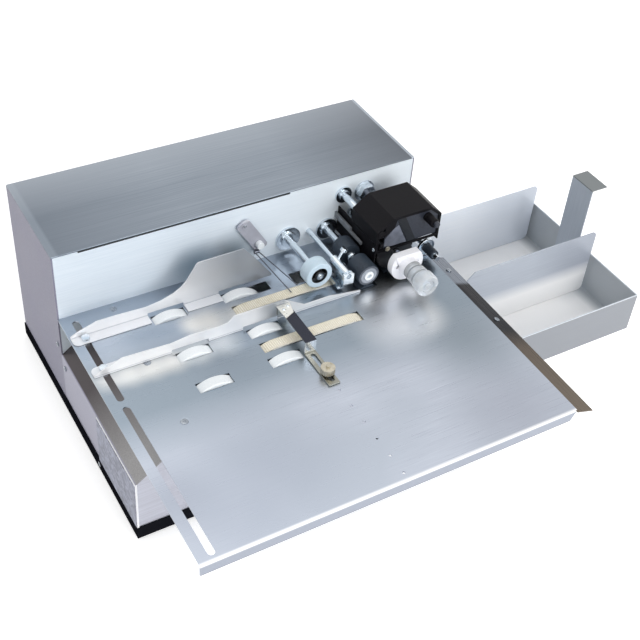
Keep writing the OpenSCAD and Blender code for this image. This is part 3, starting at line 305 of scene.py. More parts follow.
# Painted shade darkens the left shoulder under the table near the housing; its upright wall
# keeps its own tone
left_steel = brushed("brushed_stainless_left", "#8d8c8d", "#a09f9f", 0.38)
shade_to(left_steel, "#4e494b", "Y", -160, -62, 0.9)
shade_to(left_steel, "#9b9bab", "X", 1.2, 0.4, 0.9)
dress(left_steel, "left_lower_panel")


def hold(piece):
    """Selects one piece alone."""
    start_clean()
    piece.select_set(True)
    bpy.context.view_layer.objects.active = piece


def show_edit(piece):
    """Opens one piece alone in edit mode."""
    hold(piece)
    bpy.ops.object.mode_set(mode="EDIT")


def pick_faces(test):
    """Selects the faces of the open piece whose middle and normal pass a test."""
    mesh = bmesh.from_edit_mesh(bpy.context.object.data)
    for face in mesh.faces:
        face.select_set(False)
    for face in mesh.faces:
        if test(face.calc_center_median(), face.normal):
            face.select_set(True)
    bmesh.update_edit_mesh(bpy.context.object.data)


def draw_out(x, y, z):
    """Extrudes what is selected in the open piece, by mm."""
    bpy.ops.mesh.extrude_region_move(
        TRANSFORM_OT_translate={"value": (x / 1000, y / 1000, z / 1000)})


def round_edges(piece, edge_mm, segments=2, angle=30):
    """Rounds the sharp edges of a piece and shades what is left smoothly."""
    hold(piece)
    edges = piece.modifiers.new("edges", "BEVEL")
    edges.width = edge_mm / 1000
    edges.segments = segments
    edges.limit_method = "ANGLE"
    edges.angle_limit = math.radians(angle)
    bpy.ops.object.modifier_apply(modifier="edges")
    bpy.ops.object.shade_smooth_by_angle(angle=math.radians(angle))
    flats = piece.modifiers.new("flat_faces", "WEIGHTED_NORMAL")
    flats.keep_sharp = True
    bpy.ops.object.modifier_apply(modifier="flat_faces")


def settle(piece, finish, slot, body, *nodes):
    """Puts a finished piece's place in its mesh, gives it its finish and its body."""
    hold(piece)
    bpy.ops.object.transform_apply(location=True, rotation=True, scale=True)
    piece.data.materials.clear()
    piece.data.materials.append(finish)
    if nodes:
        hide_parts(*nodes)
    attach(piece, body)
    return piece


def new_piece(name):
    """The primitive just added, named, with its place and size put in its mesh."""
    piece = bpy.context.object
    piece.name = name
    bpy.ops.object.transform_apply(location=True, rotation=True, scale=True)
    return piece


def block_between(name, low, high):
    """A cube primitive stretched between two places, ready to be shaped."""
    start_clean()
    low, high = spot(*low), spot(*high)
    bpy.ops.mesh.primitive_cube_add(size=1, location=(low + high) / 2)
    bpy.context.object.scale = high - low
    return new_piece(name)


# A painted highlight along the edge that frames the side plate: a short bar, drawn out
# along the plate's top and down its front
edge_highlight_bar = block_between("panel_edge_highlight", (-0.6, -184.6, -49.6), (1.4, -183.9, -47.2))
show_edit(edge_highlight_bar)
pick_faces(lambda middle, normal: normal.y > 0.9)
draw_out(0, 91.9, 0)
pick_faces(lambda middle, normal: normal.z < -0.9 and middle.y < spot(0, -183, 0).y)
draw_out(0, 0, -58.4)
bpy.ops.object.mode_set(mode="OBJECT")
round_edges(edge_highlight_bar, 0.15, 1)
# A painted highlight: near-white colour where the folded edge catches the lamps
edge_highlight_finish = grainy("painted_edge_highlight", "#f1f2f6", "#fbfbfd", 0.8, 0.005, 0.3, 0.35)
settle(edge_highlight_bar, edge_highlight_finish, "brushed", "machine")

# Top cover

# A flat brushed stainless lid with folded edges, its grain running along the housing.
# A black strip under its front edge on the left half is painted shade for the gap there.


def refine(node, edge_mm, finish, slot, body, segments=2):
    """Replaces a CAD node by a merged copy in its finish, with its edges rounded as the
    real piece's are."""
    piece = bpy.data.objects.new(node + "_finished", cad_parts[node].data.copy())
    bpy.context.collection.objects.link(piece)
    piece.data.materials.clear()
    show_edit(piece)
    bpy.ops.mesh.select_all(action="SELECT")
    bpy.ops.mesh.remove_doubles(threshold=0.000002)
    bpy.ops.mesh.customdata_custom_splitnormals_clear()
    bpy.ops.mesh.dissolve_limited(angle_limit=math.radians(0.5))
    bpy.ops.object.mode_set(mode="OBJECT")
    round_edges(piece, edge_mm, segments)
    settle(piece, finish, slot, body, node)


lid_steel = brushed("brushed_stainless_lid", "#838c96", "#979fa9", 0.36, line_mm=1.1,
                    run_mm=110, depth_mm=0.01)
# The lid is a little darker towards both ends and lighter towards its back, and painted
# highlights run along its two end folds
shade_to(lid_steel, "#6a727c", "X", 140, 0, 0.8)
shade_to(lid_steel, "#646970", "X", 270, 400, 0.85)
shade_to(lid_steel, "#97a0aa", "X", 8.5, 5.5, 0.4)
shade_to(lid_steel, "#b4bac2", "Y", 60, 126, 0.5)
shade_to(lid_steel, "#b3bbc4", "X", 396.2, 397, 0.85)
refine("top_cover", 0.6, lid_steel, "brushed_dark", "machine")

# A black strip standing in for the shadow gap under the lid's front edge: painted shade
shadow_gap_strip = block_between("lid_shadow_gap_strip", (26, -0.5, 73.2), (250, 1.2, 74.6))
show_edit(shadow_gap_strip)
bpy.ops.mesh.select_all(action="SELECT")
bpy.ops.mesh.subdivide(number_cuts=1)
bpy.ops.object.mode_set(mode="OBJECT")
round_edges(shadow_gap_strip, 0.25)
settle(shadow_gap_strip, moulded_rubber, "rubber", "machine")

# Housing front plate

# Satin stainless sheet, bored for every shaft. It carries all the bearings, and mirrors
# the dark rollers faintly.


def shade_patches(finish, patches):
    """Blends round patches into a finish. Each has its middle, its reach in mm, its tone
    and how much of that shows in the middle."""
    tree, surface, tone = base_tone(finish)
    place = add_node(tree, "TexCoord")
    for middle, reach, colour, most in patches:
        apart = add_node(tree, "VectorMath", {0: place.outputs["Object"], 1: spot(*middle)},
                         operation="DISTANCE")
        near = add_node(tree, "MapRange", {"Value": apart.outputs["Value"],
                                           "From Min": reach / 1000, "From Max": 0.0,
                                           "To Max": most}, interpolation_type="SMOOTHSTEP")
        tone = add_node(tree, "MixRGB", {"Fac": near.outputs[0], "Color1": tone,
                                         "Color2": linear(colour)}).outputs[0]
    tree.links.new(tone, surface.inputs["Base Color"])


# Satin stainless so evenly lit that it reads nearly white, hence its low metallic
front_steel = brushed("satin_stainless_front", "#d8e3ed", "#e3ecf4", 0.42, line_mm=1.0,
                      run_mm=60, depth_mm=0.004, metallic=0.1)
# Painted light: the plate is lighter towards its right end
shade_to(front_steel, "#eaf2f8", "X", 150, 330, 0.9)
# Painted reflections: a dark and a blue-grey patch low on the plate, where it mirrors the back
# guide
shade_patches(front_steel, (((190, 0, 20), 36, "#4c606c", 0.75),
                            ((145, 0, 16), 36, "#86a3b6", 0.7)))
dress(front_steel, "housing_front_plate")

# Table and exit strip

# The table is one brushed stainless sheet with a folded front edge; the exit strip is a
# thinner bright-rolled sheet that mirrors the room darkly, bent down to the tray.

# Brushed in lines 45 mm long: a close sheen, with slow clouds from handling
table_steel = brushed("brushed_stainless_table", "#b1b7c3", "#bfc5d0", 0.3, line_mm=0.8,
                      run_mm=45, depth_mm=0.001, cloud_colour="#b0b7c2")
# Towards the housing it mirrors the dark back of the room, then the light front plate
shade_to(table_steel, "#8a96a1", "Y", -205, -150, 0.9)
shade_to(table_steel, "#a9b1bc", "Y", -95, -68, 0.8)
# Patches of x, y, reach, tone and strength: the room's soft lights and darks on the open
# table, the glare along the front guide, and the head and knob mirrored in front of them
shade_patches(table_steel, [((x, y, 0), *rest) for x, y, *rest in (
    (124, -118, 62, "#7f8995", 0.5), (345, -190, 85, "#87919a", 0.85),
    (330, -290, 90, "#9c9fab", 0.5), (8, -250, 62, "#979da9", 0.7),
    (34, -296, 75, "#9ea5b1", 0.5), (95, -250, 115, "#959ca9", 0.55),
    (12, -95, 24, "#e4e3df", 0.6), (33, -97, 24, "#e9e8e3", 0.75),
    (54, -98, 24, "#e4e2dd", 0.75), (75, -98, 24, "#e2e0db", 0.75),
    (100, -98, 24, "#e0e2e1", 0.6), (128, -94, 28, "#dadddf", 0.6),
    (28, -56, 34, "#c3c8d1", 0.5), (85, -62, 44, "#7d8999", 0.2),
    (113, -62, 20, "#e9e7e1", 0.7), (131, -64, 30, "#ebe8e1", 0.8),
    (162, -66, 24, "#ece9e1", 0.8), (324, -84, 22, "#101114", 0.85),
    (315, -105, 28, "#ffffff", 0.85), (290, -104, 24, "#ffffff", 0.85),
    (338, -110, 26, "#ffffff", 0.7), (317, -144, 42, "#ffffff", 0.7),
    (290, -144, 54, "#dfe3ea", 0.75))])
# The bend over the front edge carries a painted highlight, the folded face is plain again,
# and a darker line runs along its lower edge
shade_to(table_steel, "#ffffff", "Y", -315.4, -318.2, 0.9)
shade_to(table_steel, "#a4aab6", "Z", -1.8, -3.2)
shade_to(table_steel, "#8b8e98", "Z", -11.8, -12.8, 0.8)
refine("table_plate", 0.4, table_steel, "brushed", "machine")

# Bright-rolled sheet: a soft dark mirror streaked along its rolling
strip_steel, tree, surface, place = start_finish("bright_rolled_strip", 1.0, 0.3)
axes = add_node(tree, "SeparateXYZ", {"Vector": place})
# The sheet turns dark from 120 mm in front of the housing and browner towards its end
along = add_node(tree, "MapRange", {"Value": axes.outputs["Y"],
                                    "From Min": spot(0, -72, 0).y,
                                    "From Max": spot(0, -320, 0).y})
tone = add_node(tree, "ValToRGB", {"Fac": along.outputs[0]},
                ((0.18, "#7f858f"), (0.2, "#201f24"), (0.5, "#2b2b2e"), (0.62, "#5f5449"),
                 (1.0, "#6f6457")))
# Rolling streaks about 1.1 mm wide and 67 mm long
streak = add_node(tree, "Mapping", {"Vector": place, "Scale": (900.0, 15.0, 900.0)})
rolled = add_node(tree, "TexNoise", {"Vector": streak.outputs[0], "Scale": 1.0,
                                     "Detail": 3.0}).outputs["Fac"]
shade = add_node(tree, "MapRange", {"Value": rolled, "From Min": 0.3, "From Max": 0.7,
                                    "To Min": 0.9, "To Max": 1.08})
tinted = add_node(tree, "MixRGB", {"Fac": 1.0, "Color1": tone.outputs["Color"],
                                   "Color2": shade.outputs[0]}, blend_type="MULTIPLY")
work_up(tree, surface, tinted.outputs[0], (rolled, 0.0, 1.0, 0.22, 0.36))
refine("exit_strip", 0.2, strip_steel, "brushed", "machine")

# Screws

# Steel machine screws with a cross recess, zinc plated. Countersunk heads sit flush in
# the table, pan heads hold the exit strip and the side panels.


def plated(name, low_colour, high_colour, roughness, scuff_mm=4.0, metallic=1.0):
    """Bright plated or polished metal: a faint cloud of fine scuffs in its gloss."""
    finish, tree, surface, place = start_finish(name, metallic, roughness)
    scuff = add_node(tree, "TexNoise", {"Vector": place, "Scale": 1000 / scuff_mm,
                                        "Detail": 4.0}).outputs["Fac"]
    tone = add_node(tree, "ValToRGB", {"Fac": scuff}, ((0.3, low_colour), (0.7, high_colour)))
    work_up(tree, surface, tone.outputs["Color"],
            (scuff, 0.3, 0.7, roughness * 0.85, roughness * 1.2), (scuff, 0.05, 0.01))
    return finish


def cross_screw(name, radius, height, shank):
    """A pan-head screw about its own middle, head up, with a cross recess; all in mm."""
    start_clean()
    bpy.ops.mesh.primitive_cylinder_add(vertices=24, radius=radius / 1000,
                                        depth=height / 1000,
                                        location=(0, 0, height / 2000))
    screw = new_piece(name)
    bpy.ops.object.mode_set(mode="EDIT")
    rise, long_side, short_side = height * 0.25, radius * 1.1, radius * 0.3
    pick_faces(lambda middle, normal: normal.z > 0.9)
    bpy.ops.mesh.inset(thickness=radius * 0.3 / 1000)
    bpy.ops.transform.translate(value=(0, 0, rise / 1000))
    pick_faces(lambda middle, normal: normal.z < -0.9)
    bpy.ops.mesh.inset(thickness=radius * 0.5 / 1000)
    draw_out(0, 0, -shank)
    bpy.ops.object.mode_set(mode="OBJECT")
    for wide, deep in ((long_side, short_side), (short_side, long_side)):
        bpy.ops.mesh.primitive_cube_add(size=1, location=(0, 0, (height + rise) / 1000))
        cutter = bpy.context.object
        cutter.scale = (wide / 1000, deep / 1000, height * 1.1 / 1000)
        hold(screw)
        cut = screw.modifiers.new("recess", "BOOLEAN")
        cut.operation = "DIFFERENCE"
        cut.solver = "EXACT"
        cut.object = cutter
        bpy.ops.object.modifier_apply(modifier="recess")
        bpy.data.objects.remove(cutter)
    round_edges(screw, 0.12, 1, 40)
    return screw


def add_screw(name, radius, height, shank, angles, place, finish, body):
    """Makes a cross screw and sets it in its place."""
    screw = cross_screw(name, radius, height, shank)
    screw.rotation_euler = angles
    screw.location = spot(*place)
    settle(screw, finish, "chrome", body)


facing_left, facing_front = (0, -math.pi / 2, 0), (math.pi / 2, 0, 0)
# Zinc plate: bluish, with soft highlights
zinc_plate = plated("zinc_plated_screw", "#7f858d", "#b2b8bf", 0.26)
pattern = cross_screw("screw_pattern", 2.9, 1.0, 1.2)
# The strip falls 7 mm in 20, and its screws stand square on it
strip_tilt = math.atan(7 / 20)
# Each screw: name, place, angles, and its width and height beside the pattern's
screws = [("strip_screw_back", (392, -96, -4.9), (0, strip_tilt, 0), 1.0, 1.0),
          ("strip_screw_front", (392, -181, -4.9), (0, strip_tilt, 0), 1.0, 1.0),
          ("end_panel_screw", (0, 8, -39), facing_left, 1.0, 1.0),
          ("side_panel_screw", (0, -7, -60), facing_left, 1.0, 1.0),
          ("pan_screw", (0, -90, -117), facing_left, 1.0, 1.0),
          ("table_screw_back", (53.5, -8, -0.75), (0, 0, 0.5), 1.2, 0.6),
          ("table_screw_middle", (53.5, -91, -0.75), (0, 0, 1.1), 1.2, 0.6),
          ("table_screw_front", (53.5, -173, -0.75), (0, 0, 0.2), 1.2, 0.6)]
placed = []
for name, place, angles, width, height in screws:
    start_clean()
    screw = bpy.data.objects.new(name, pattern.data.copy())
    bpy.context.collection.objects.link(screw)
    screw.rotation_euler = angles
    screw.scale = (width, width, height)
    screw.location = spot(*place)
    placed.append(screw)
bpy.data.objects.remove(pattern)
# All of them stand for one CAD node
settle(placed[0], zinc_plate, "chrome", "machine", "panel_screws")
for screw in placed[1:]:
    settle(screw, zinc_plate, "chrome", "machine")

# Hopper guides

# Two laser-cut polished stainless sheets, folded into an upright wall and a flat foot.
# A chromed clamp through the table slot holds each one.

# Chrome: a tight bluish mirror, hardly scuffed
bright_chrome = plated("bright_chrome", "#cbd4dc", "#dbe2e8", 0.16, 6.0)
# The polished sheets mirror the white room, so they read nearly white
polished_sheet = plated("polished_stainless_guide", "#dfe0e3", "#ebecee", 0.36, 35.0, 0.35)
front_sheet = plated("polished_stainless_front_guide", "#dfe0e3", "#ebecee", 0.36, 35.0, 0.35)
# The back guide is darker from 95 mm on, and a painted reflection of the belt window
# darkens it further at its right end; a painted reflection darkens the front guide left
# of its strap, and painted shade draws a fine dark line along each bend
shade_to(polished_sheet, "#8f959d", "X", 95, 175, 0.9)
shade_to(polished_sheet, "#5f6163", "X", 190, 212, 0.6)
shade_to(front_sheet, "#7a838c", "X", 166, 186, 0.7)
shade_to(front_sheet, "#e4e5e6", "X", 197, 206, 0.95)
for sheet in (polished_sheet, front_sheet):
    shade_to(sheet, "#8b929c", "Z", 3.0, 2.0, 0.5)
    shade_to(sheet, "#e6e8ec", "Z", 1.58, 1.52)
for node, body, sheet in (("back_guide", "back_guide_body", polished_sheet),
                          ("front_guide", "front_guide_body", front_sheet)):
    refine(node, 0.25, sheet, "polished", body)
for node, body in (("back_guide_clamp", "back_guide_body"),
                   ("front_guide_clamp", "front_guide_body")):
    refine(node, 0.5, bright_chrome, "chrome", body)

# Bridge strap, thumb nut

# A folded polished strap riveted to the front guide, slotted for a knurled thumb nut
# that screws into the table.

# Polished strip steel, a little yellow
strap_steel = plated("polished_strap", "#9b9c95", "#b4b4ad", 0.26, 20.0)
# Its front drop carries a painted white reflection, its foot is greyer, and the top of
# the bridge carries a painted dark reflection of the head cover
shade_to(strap_steel, "#f0f1f2", "Y", -145.2, -146)
shade_to(strap_steel, "#97978f", "Z", 3.0, 2.2)
shade_to(strap_steel, "#3b3d46", "Z", 15.6, 16.3)
refine("guide_strap", 0.3, strap_steel, "polished", "front_guide_body")
# The riveted pad over the strap's guide end, cut slanting at its front
pad = block_between("strap_pad", (188.5, -109, 16.5), (203.5, -90, 17.4))
pad_middle = spot(196, -100, 0)
show_edit(pad)
for vertex in bmesh.from_edit_mesh(pad.data).verts:
    if vertex.co.y < pad_middle.y:
        on_right = vertex.co.x > pad_middle.x
        vertex.co += Vector((-0.003, 0.005, 0) if on_right else (0.001, 0, 0))
bmesh.update_edit_mesh(pad.data)
# Its middle stands 0.2 mm above a 0.8 mm border
pick_faces(lambda middle, normal: normal.z > 0.9)
bpy.ops.mesh.inset(thickness=0.0008)
bpy.ops.transform.translate(value=(0, 0, 0.0002))
bpy.ops.object.mode_set(mode="OBJECT")
round_edges(pad, 0.2)
pad_steel = plated("bright_pad_steel", "#dcdcd6", "#eceae4", 0.3, 10.0, 0.5)
settle(pad, pad_steel, "polished", "front_guide_body")
for name, x, y in (("strap_rivet_left", 193.2, -97.5), ("strap_rivet_right", 199.2, -94.6)):
    start_clean()
    bpy.ops.mesh.primitive_uv_sphere_add(segments=24, ring_count=12, radius=0.0017,
                                         location=spot(x, y, 17.5))
    rivet = bpy.context.object
    rivet.name = name
    rivet.scale = (1, 1, 0.5)
    # Only the upper half of it stands on the pad
    show_edit(rivet)
    pick_faces(lambda middle, normal: middle.z < -0.0002)
    bpy.ops.mesh.delete(type="FACE")
    bpy.ops.mesh.select_all(action="SELECT")
    bpy.ops.mesh.region_to_loop()
    bpy.ops.mesh.edge_face_add()
    bpy.ops.object.mode_set(mode="OBJECT")
    round_edges(rivet, 0.05, 1, 60)
    settle(rivet, bright_chrome, "chrome", "front_guide_body")
# Nickel over brass: warm and slightly yellow
nickel = plated("nickel_plated_brass", "#aea897", "#c9c3b3", 0.3, 6.0, 0.8)
refine("guide_thumb_nut", 0.25, nickel, "chrome", "thumb_nut")

# Feed wheels and shafts

# Six crowned white nylon wheels, moulded with a recessed web. Three run on a ground steel
# shaft and three on the belts' drive shaft.

# Nylon: white, with a waxy half gloss
white_nylon = grainy("moulded_white_nylon", "#e6ecf0", "#f4f7f9", 1.0, 0.01, 0.0, 0.38)
# Ground steel: a tight grey mirror with fine scuffs
ground_steel = plated("ground_steel_shaft", "#b7bcc3", "#d4d8dd", 0.16, 2.0)
for node, body in (("left_feed_wheels", "wheel_roller"), ("right_feed_wheels", "belt_drive")):
    refine(node, 0.3, white_nylon, "white_nylon", body)
dress(ground_steel, "wheel_shaft")
dress(white_nylon, "belt_drive_shaft", "belt_idler_shaft")

# Feed belts

# Two cream polyurethane timing belts over the under-table pulleys. Their fine cross ribs
# face the stack.

# In mm: the belt's inner radius round a pulley, its thickness with ribs, its width, the
# distance between its pulleys, and the drive pulley's middle
belt_radius, belt_thickness, belt_width, belt_span = 26.5, 1.95, 12, 81
drive_x, drive_z = 172.5, -26.4
rib_pitch, rib_height = 2.1, 0.6


def face_outwards():
    """Turns all faces of the open piece outwards."""
    bpy.ops.mesh.select_all(action="SELECT")
    bpy.ops.mesh.normals_make_consistent(inside=False)


def ribbed_belt(name, middle_y):
    """The belt's loop from a circle primitive: its right half moved to the idler, walled
    and thickened, then every other band of its outer face raised as a rib."""
    start_clean()
    inside, span, wall_mm = belt_radius / 1000, belt_span / 1000, belt_thickness - rib_height
    half_turn = round(math.pi * belt_radius / (rib_pitch / 2))
    bpy.ops.mesh.primitive_circle_add(vertices=half_turn * 2, radius=inside,
                                      location=(0, 0, 0), rotation=(math.pi / 2, 0, 0))
    belt = new_piece(name)
    bpy.ops.object.mode_set(mode="EDIT")
    mesh = bmesh.from_edit_mesh(belt.data)
    # The vertices in the middle stay with the left half
    right_half = inside * 0.02
    for vertex in mesh.verts:
        if vertex.co.x > right_half:
            vertex.co.x += span
    long_edges = [edge for edge in mesh.edges if edge.calc_length() > span / 2]
    bmesh.ops.subdivide_edges(mesh, edges=long_edges, cuts=round(belt_span / (rib_pitch / 2)))
    bmesh.update_edit_mesh(belt.data)
    bpy.ops.mesh.select_all(action="SELECT")
    bpy.ops.transform.translate(value=(0, belt_width / 2000, 0))
    draw_out(0, -belt_width, 0)
    face_outwards()
    bpy.ops.object.mode_set(mode="OBJECT")
    wall = belt.modifiers.new("thickness", "SOLIDIFY")
    wall.thickness = wall_mm / 1000
    wall.offset = 1.0
    bpy.ops.object.modifier_apply(modifier="thickness")
    bpy.ops.object.mode_set(mode="EDIT")
    face_outwards()
    mesh = bmesh.from_edit_mesh(belt.data)
    for face in mesh.faces:
        face.select_set(False)
    outer = []
    for face in mesh.faces:
        middle = face.calc_center_median()
        nearest = Vector((min(max(middle.x, 0), span), 0, 0))
        away = Vector((middle.x, 0, middle.z)) - nearest
        if (abs(face.normal.y) < 0.1 and away.dot(face.normal) > 0
                and away.length > inside + wall_mm / 2000):
            outer.append((face, middle, math.atan2(away.z, away.x)))

    def along_loop(entry):
        """How far round the loop a face is, from the top of the drive pulley on."""
        face, middle, angle = entry
        bend = math.pi * inside
        if 0 < middle.x < span:
            return middle.x if middle.z > 0 else 2 * span + bend - middle.x
        if middle.x >= span:
            return span + inside * (math.pi / 2 - angle)
        behind = angle if angle > 0 else angle + 2 * math.pi
        return 2 * span + bend + inside * (3 * math.pi / 2 - behind)

    outer.sort(key=along_loop)
    for face, middle, angle in outer[::2]:
        face.select_set(True)
    bmesh.update_edit_mesh(belt.data)
    bpy.ops.mesh.extrude_faces_move(
        TRANSFORM_OT_shrink_fatten={"value": -rib_height / 1000})
    bpy.ops.object.mode_set(mode="OBJECT")
    belt.location = spot(drive_x, middle_y, drive_z)
    round_edges(belt, 0.1, 1, 40)
    return belt


# Polyurethane: cream and half matt, with hardly any grain
cream_belt = grainy("cream_polyurethane_belt", "#f1ece0", "#f9f6ed", 6.0, 0.01, 0.0, 0.5)
# The floors between the ribs are painted darker: painted shade in the grooves
rib_floor_shade = grainy("cream_belt_rib_floor", "#dcd5bd", "#e4decb", 6.0, 0.01, 0.0, 0.7)
# The floors lie 27.85 mm from the line between the pulleys
axle, floor_from, floor_to = spot(drive_x, 0, drive_z), 0.0277, 0.0281
for node, middle_y in (("back_feed_belt", -61.8), ("front_feed_belt", -120.5)):
    belt = settle(ribbed_belt(node + "_ribbed", middle_y), cream_belt, "cream_belt",
                  "machine", node)
    belt.data.materials.append(rib_floor_shade)
    for face in belt.data.polygons:
        reach_x = face.center.x - axle.x
        reach_x -= min(max(reach_x, 0), belt_span / 1000)
        height = math.hypot(reach_x, face.center.z - axle.z)
        if floor_from < height < floor_to and abs(face.normal.y) < 0.3:
            face.material_index = 1

# Feed roller

# A soft blue-grey rubber tyre on a black moulded hub with three curved slots, held on
# its shaft by a small screw.


def turned(name, x, z, profile, sides=96, ring=False):
    """A part turned about a line running front to back, from a circle primitive that is
    extruded and scaled along its profile of (y, radius) in mm. A ring comes back to its
    first circle; any other part has a flat at each end."""
    start_clean()
    y, radius = profile[0]
    bpy.ops.mesh.primitive_circle_add(vertices=sides, radius=radius / 1000,
                                      fill_type="NOTHING" if ring else "NGON",
                                      location=spot(x, y, z), rotation=(math.pi / 2, 0, 0))
    piece = new_piece(name)
    bpy.ops.object.mode_set(mode="EDIT")
    bpy.ops.mesh.select_all(action="SELECT")
    for next_y, next_radius in profile[1:] + (profile[:1] if ring else []):
        draw_out(0, next_y - y, 0)
        share = next_radius / radius
        bpy.ops.transform.resize(value=(share, 1, share), center_override=spot(x, next_y, z))
        y, radius = next_y, next_radius
    bpy.ops.mesh.select_all(action="SELECT")
    bpy.ops.mesh.remove_doubles(threshold=0.000005)
    face_outwards()
    bpy.ops.object.mode_set(mode="OBJECT")
    return piece


# Pale moulded rubber: matt, with a soft skin
tyre_rubber = grainy("blue_grey_rubber_tyre", "#c3d7e4", "#d3e2ee", 1.4, 0.02, 0.0, 0.55)
feed_x, feed_z = 250, 17
tyre = turned("feed_tyre_grooved", feed_x, feed_z, [
    (-53, 9.1), (-53, 13.7), (-53.4, 14.4), (-54, 14.7), (-57.4, 14.7), (-57.6, 14.4),
    (-57.9, 14.4), (-58.1, 14.7), (-62.9, 14.7), (-63.1, 14.4), (-63.4, 14.4),
    (-63.6, 14.7), (-67, 14.7), (-67.6, 14.4), (-68, 13.7), (-68, 9.1)], ring=True)
round_edges(tyre, 0.15, 2, 35)
settle(tyre, tyre_rubber, "grey_tyre", "feed_roller", "feed_roller_tyre")

# Black nylon: a faint even sheen
black_nylon = grainy("moulded_black_nylon", "#1c1d20", "#2b2d31", 0.9, 0.01, 0.0, 0.35)
hub = turned("feed_hub_slotted", feed_x, feed_z, [
    (-53, 4.1), (-53, 9.1), (-67.4, 9.1), (-67.4, 8.4), (-66.2, 8.1), (-66.2, 5.4),
    (-68, 5.2), (-68, 4.1)], ring=True)
show_edit(hub)
# Three slots of 84 degrees sink 6 mm into the recess, 5.4 to 8.1 mm from the middle
hub_middle, recess_front = spot(feed_x, 0, feed_z), spot(0, -66, 0).y
slot_from, slot_to, slot_turn = 0.0054, 0.0081, 84
pick_faces(lambda middle, normal: normal.y < -0.9 and middle.y < recess_front
           and slot_from < math.hypot(middle.x - hub_middle.x, middle.z - hub_middle.z) < slot_to
           and math.degrees(math.atan2(middle.z - hub_middle.z,
                                       middle.x - hub_middle.x)) % 120 < slot_turn)
draw_out(0, 6, 0)
bpy.ops.object.mode_set(mode="OBJECT")
round_edges(hub, 0.15, 2, 35)
settle(hub, black_nylon, "black_plastic", "feed_roller", "feed_roller_hub")
dress(bright_chrome, "feed_shaft")
add_screw("feed_hub_screw", 2.6, 0.9, 0.6, facing_front, (feed_x, -68.9, feed_z),
          bright_chrome, "feed_roller")

# Pull rollers

# Two black rubber rollers on a chromed shaft with a clamp collar. The front one shows
# its grey core and white bush.

# Ground rubber: matt, and slightly blue under the lamps
black_rubber = grainy("ground_black_rubber", "#262c35", "#35404c", 1.1, 0.02, 0.0, 0.55,
                      Specular_IOR_Level=0.3)
refine("pull_rollers", 0.6, black_rubber, "rubber", "pull_roller")
refine("pull_shaft", 0.3, bright_chrome, "chrome", "pull_roller")
pull_x, pull_z = 296.3, 15.5
# The moulded core is paler, and the rubber's cut face duller than its tread
core_grey = grainy("moulded_grey_core", "#868d98", "#9da4ae", 1.0, 0.01, 0.0, 0.4)
ground_face = grainy("ground_rubber_face", "#474d57", "#575d68", 1.0, 0.01, 0.0, 0.6)
for name, finish, slot, edge_mm, profile in (
        ("pull_roller_core", core_grey, "black_plastic", 0.15, [
            (-86, 5.0), (-86, 9.2), (-87.3, 9.2), (-87.6, 8.9), (-87.6, 6.3), (-87, 6.0),
            (-87, 5.0)]),
        ("pull_roller_bush", white_nylon, "white_nylon", 0.15, [
            (-86, 1.3), (-86, 5.2), (-88.2, 5.2), (-88.6, 4.8), (-88.6, 2.6), (-87.8, 2.4),
            (-87.8, 1.3)]),
        ("pull_roller_face", ground_face, "rubber", 0.1, [
            (-86.8, 9.3), (-86.8, 11.3), (-87.25, 11.3), (-87.25, 9.3)])):
    ring = turned(name, pull_x, pull_z, profile, ring=True)
    round_edges(ring, edge_mm, 1, 35)
    settle(ring, finish, slot, "pull_roller")
dress(black_rubber, "lower_pull_roller", "impression_roller")

# Bearings

# Chromed flanged bearings pressed into the housing front, and one hexagon boss for the
# ink arm's pivot.

refine("bearing_flanges", 0.35, bright_chrome, "chrome", "machine")

# Print drum

# The type holder: a black anodised drum with fine flutes that take the type strips, on
# a steel shaft, with a white nylon flange and a clear acrylic hand knob at its front.

# Black anodising: a fine metallic sheen
black_anodised = grainy("black_anodised_aluminium", "#1b1b1f", "#2a2a2f", 0.8, 0.005, 0.3, 0.34)
refine("print_drum", 0.15, black_anodised, "satin_black", "print_wheel", segments=1)
dress(ground_steel, "print_shaft")
# Polished nylon: whiter and glossier than the wheels'
flange_nylon = grainy("polished_white_nylon", "#f0f1f7", "#fafafd", 1.0, 0.01, 0.0, 0.3)
refine("hand_flange", 0.3, flange_nylon, "white_nylon", "print_wheel")

# Clear acrylic, hazy from turning, so that about half of it shows white
clear_acrylic, tree, surface, place = start_finish("clear_acrylic_knob", 0.0, 0.06,
                                                   Transmission_Weight=0.56, IOR=1.45)
haze = add_node(tree, "TexNoise", {"Vector": place, "Scale": 180.0,
                                   "Detail": 3.0}).outputs["Fac"]
tone = add_node(tree, "ValToRGB", {"Fac": haze}, ((0.35, "#f0f6fd"), (0.65, "#fafdff")))
work_up(tree, surface, tone.outputs["Color"], (haze, 0.0, 1.0, 0.02, 0.07))
# Turned and polished acrylic: steps at the neck, a waist, then the gripping rim
knob = turned("hand_knob_turned", 334.5, 25, [
    (-106, 9.6), (-106.6, 10.0), (-111.6, 10.0), (-112.2, 9.6), (-112.4, 8.4),
    (-114.0, 8.4), (-114.3, 10.2), (-114.9, 10.6), (-119.8, 10.6), (-120.4, 10.2),
    (-120.7, 8.8), (-123.0, 8.8), (-123.5, 11.0), (-125.2, 12.3), (-134.4, 12.3),
    (-136.4, 11.6), (-137, 10.8), (-137, 7.2), (-134.6, 6.5), (-134.6, 4.0), (-136.2, 3.5),
    (-136.2, 0.9)])
round_edges(knob, 0.3, 2, 35)
settle(knob, clear_acrylic, "clear_plastic", "print_wheel", "hand_knob")

# Ink arm and ink roll

# A plated arm on its own pivot carries the hot ink roll, a cast black cylinder, against
# the type.

refine("ink_arm", 0.4, dipped_zinc, "zinc", "ink_carrier")
# A moulded hot-melt ink roll: matt and slightly pitted
ink_black = grainy("hot_ink_roll", "#18181b", "#26262b", 1.6, 0.02, 0.0, 0.5)
refine("ink_roll", 0.8, ink_black, "ink_black", "ink")

# Head cover

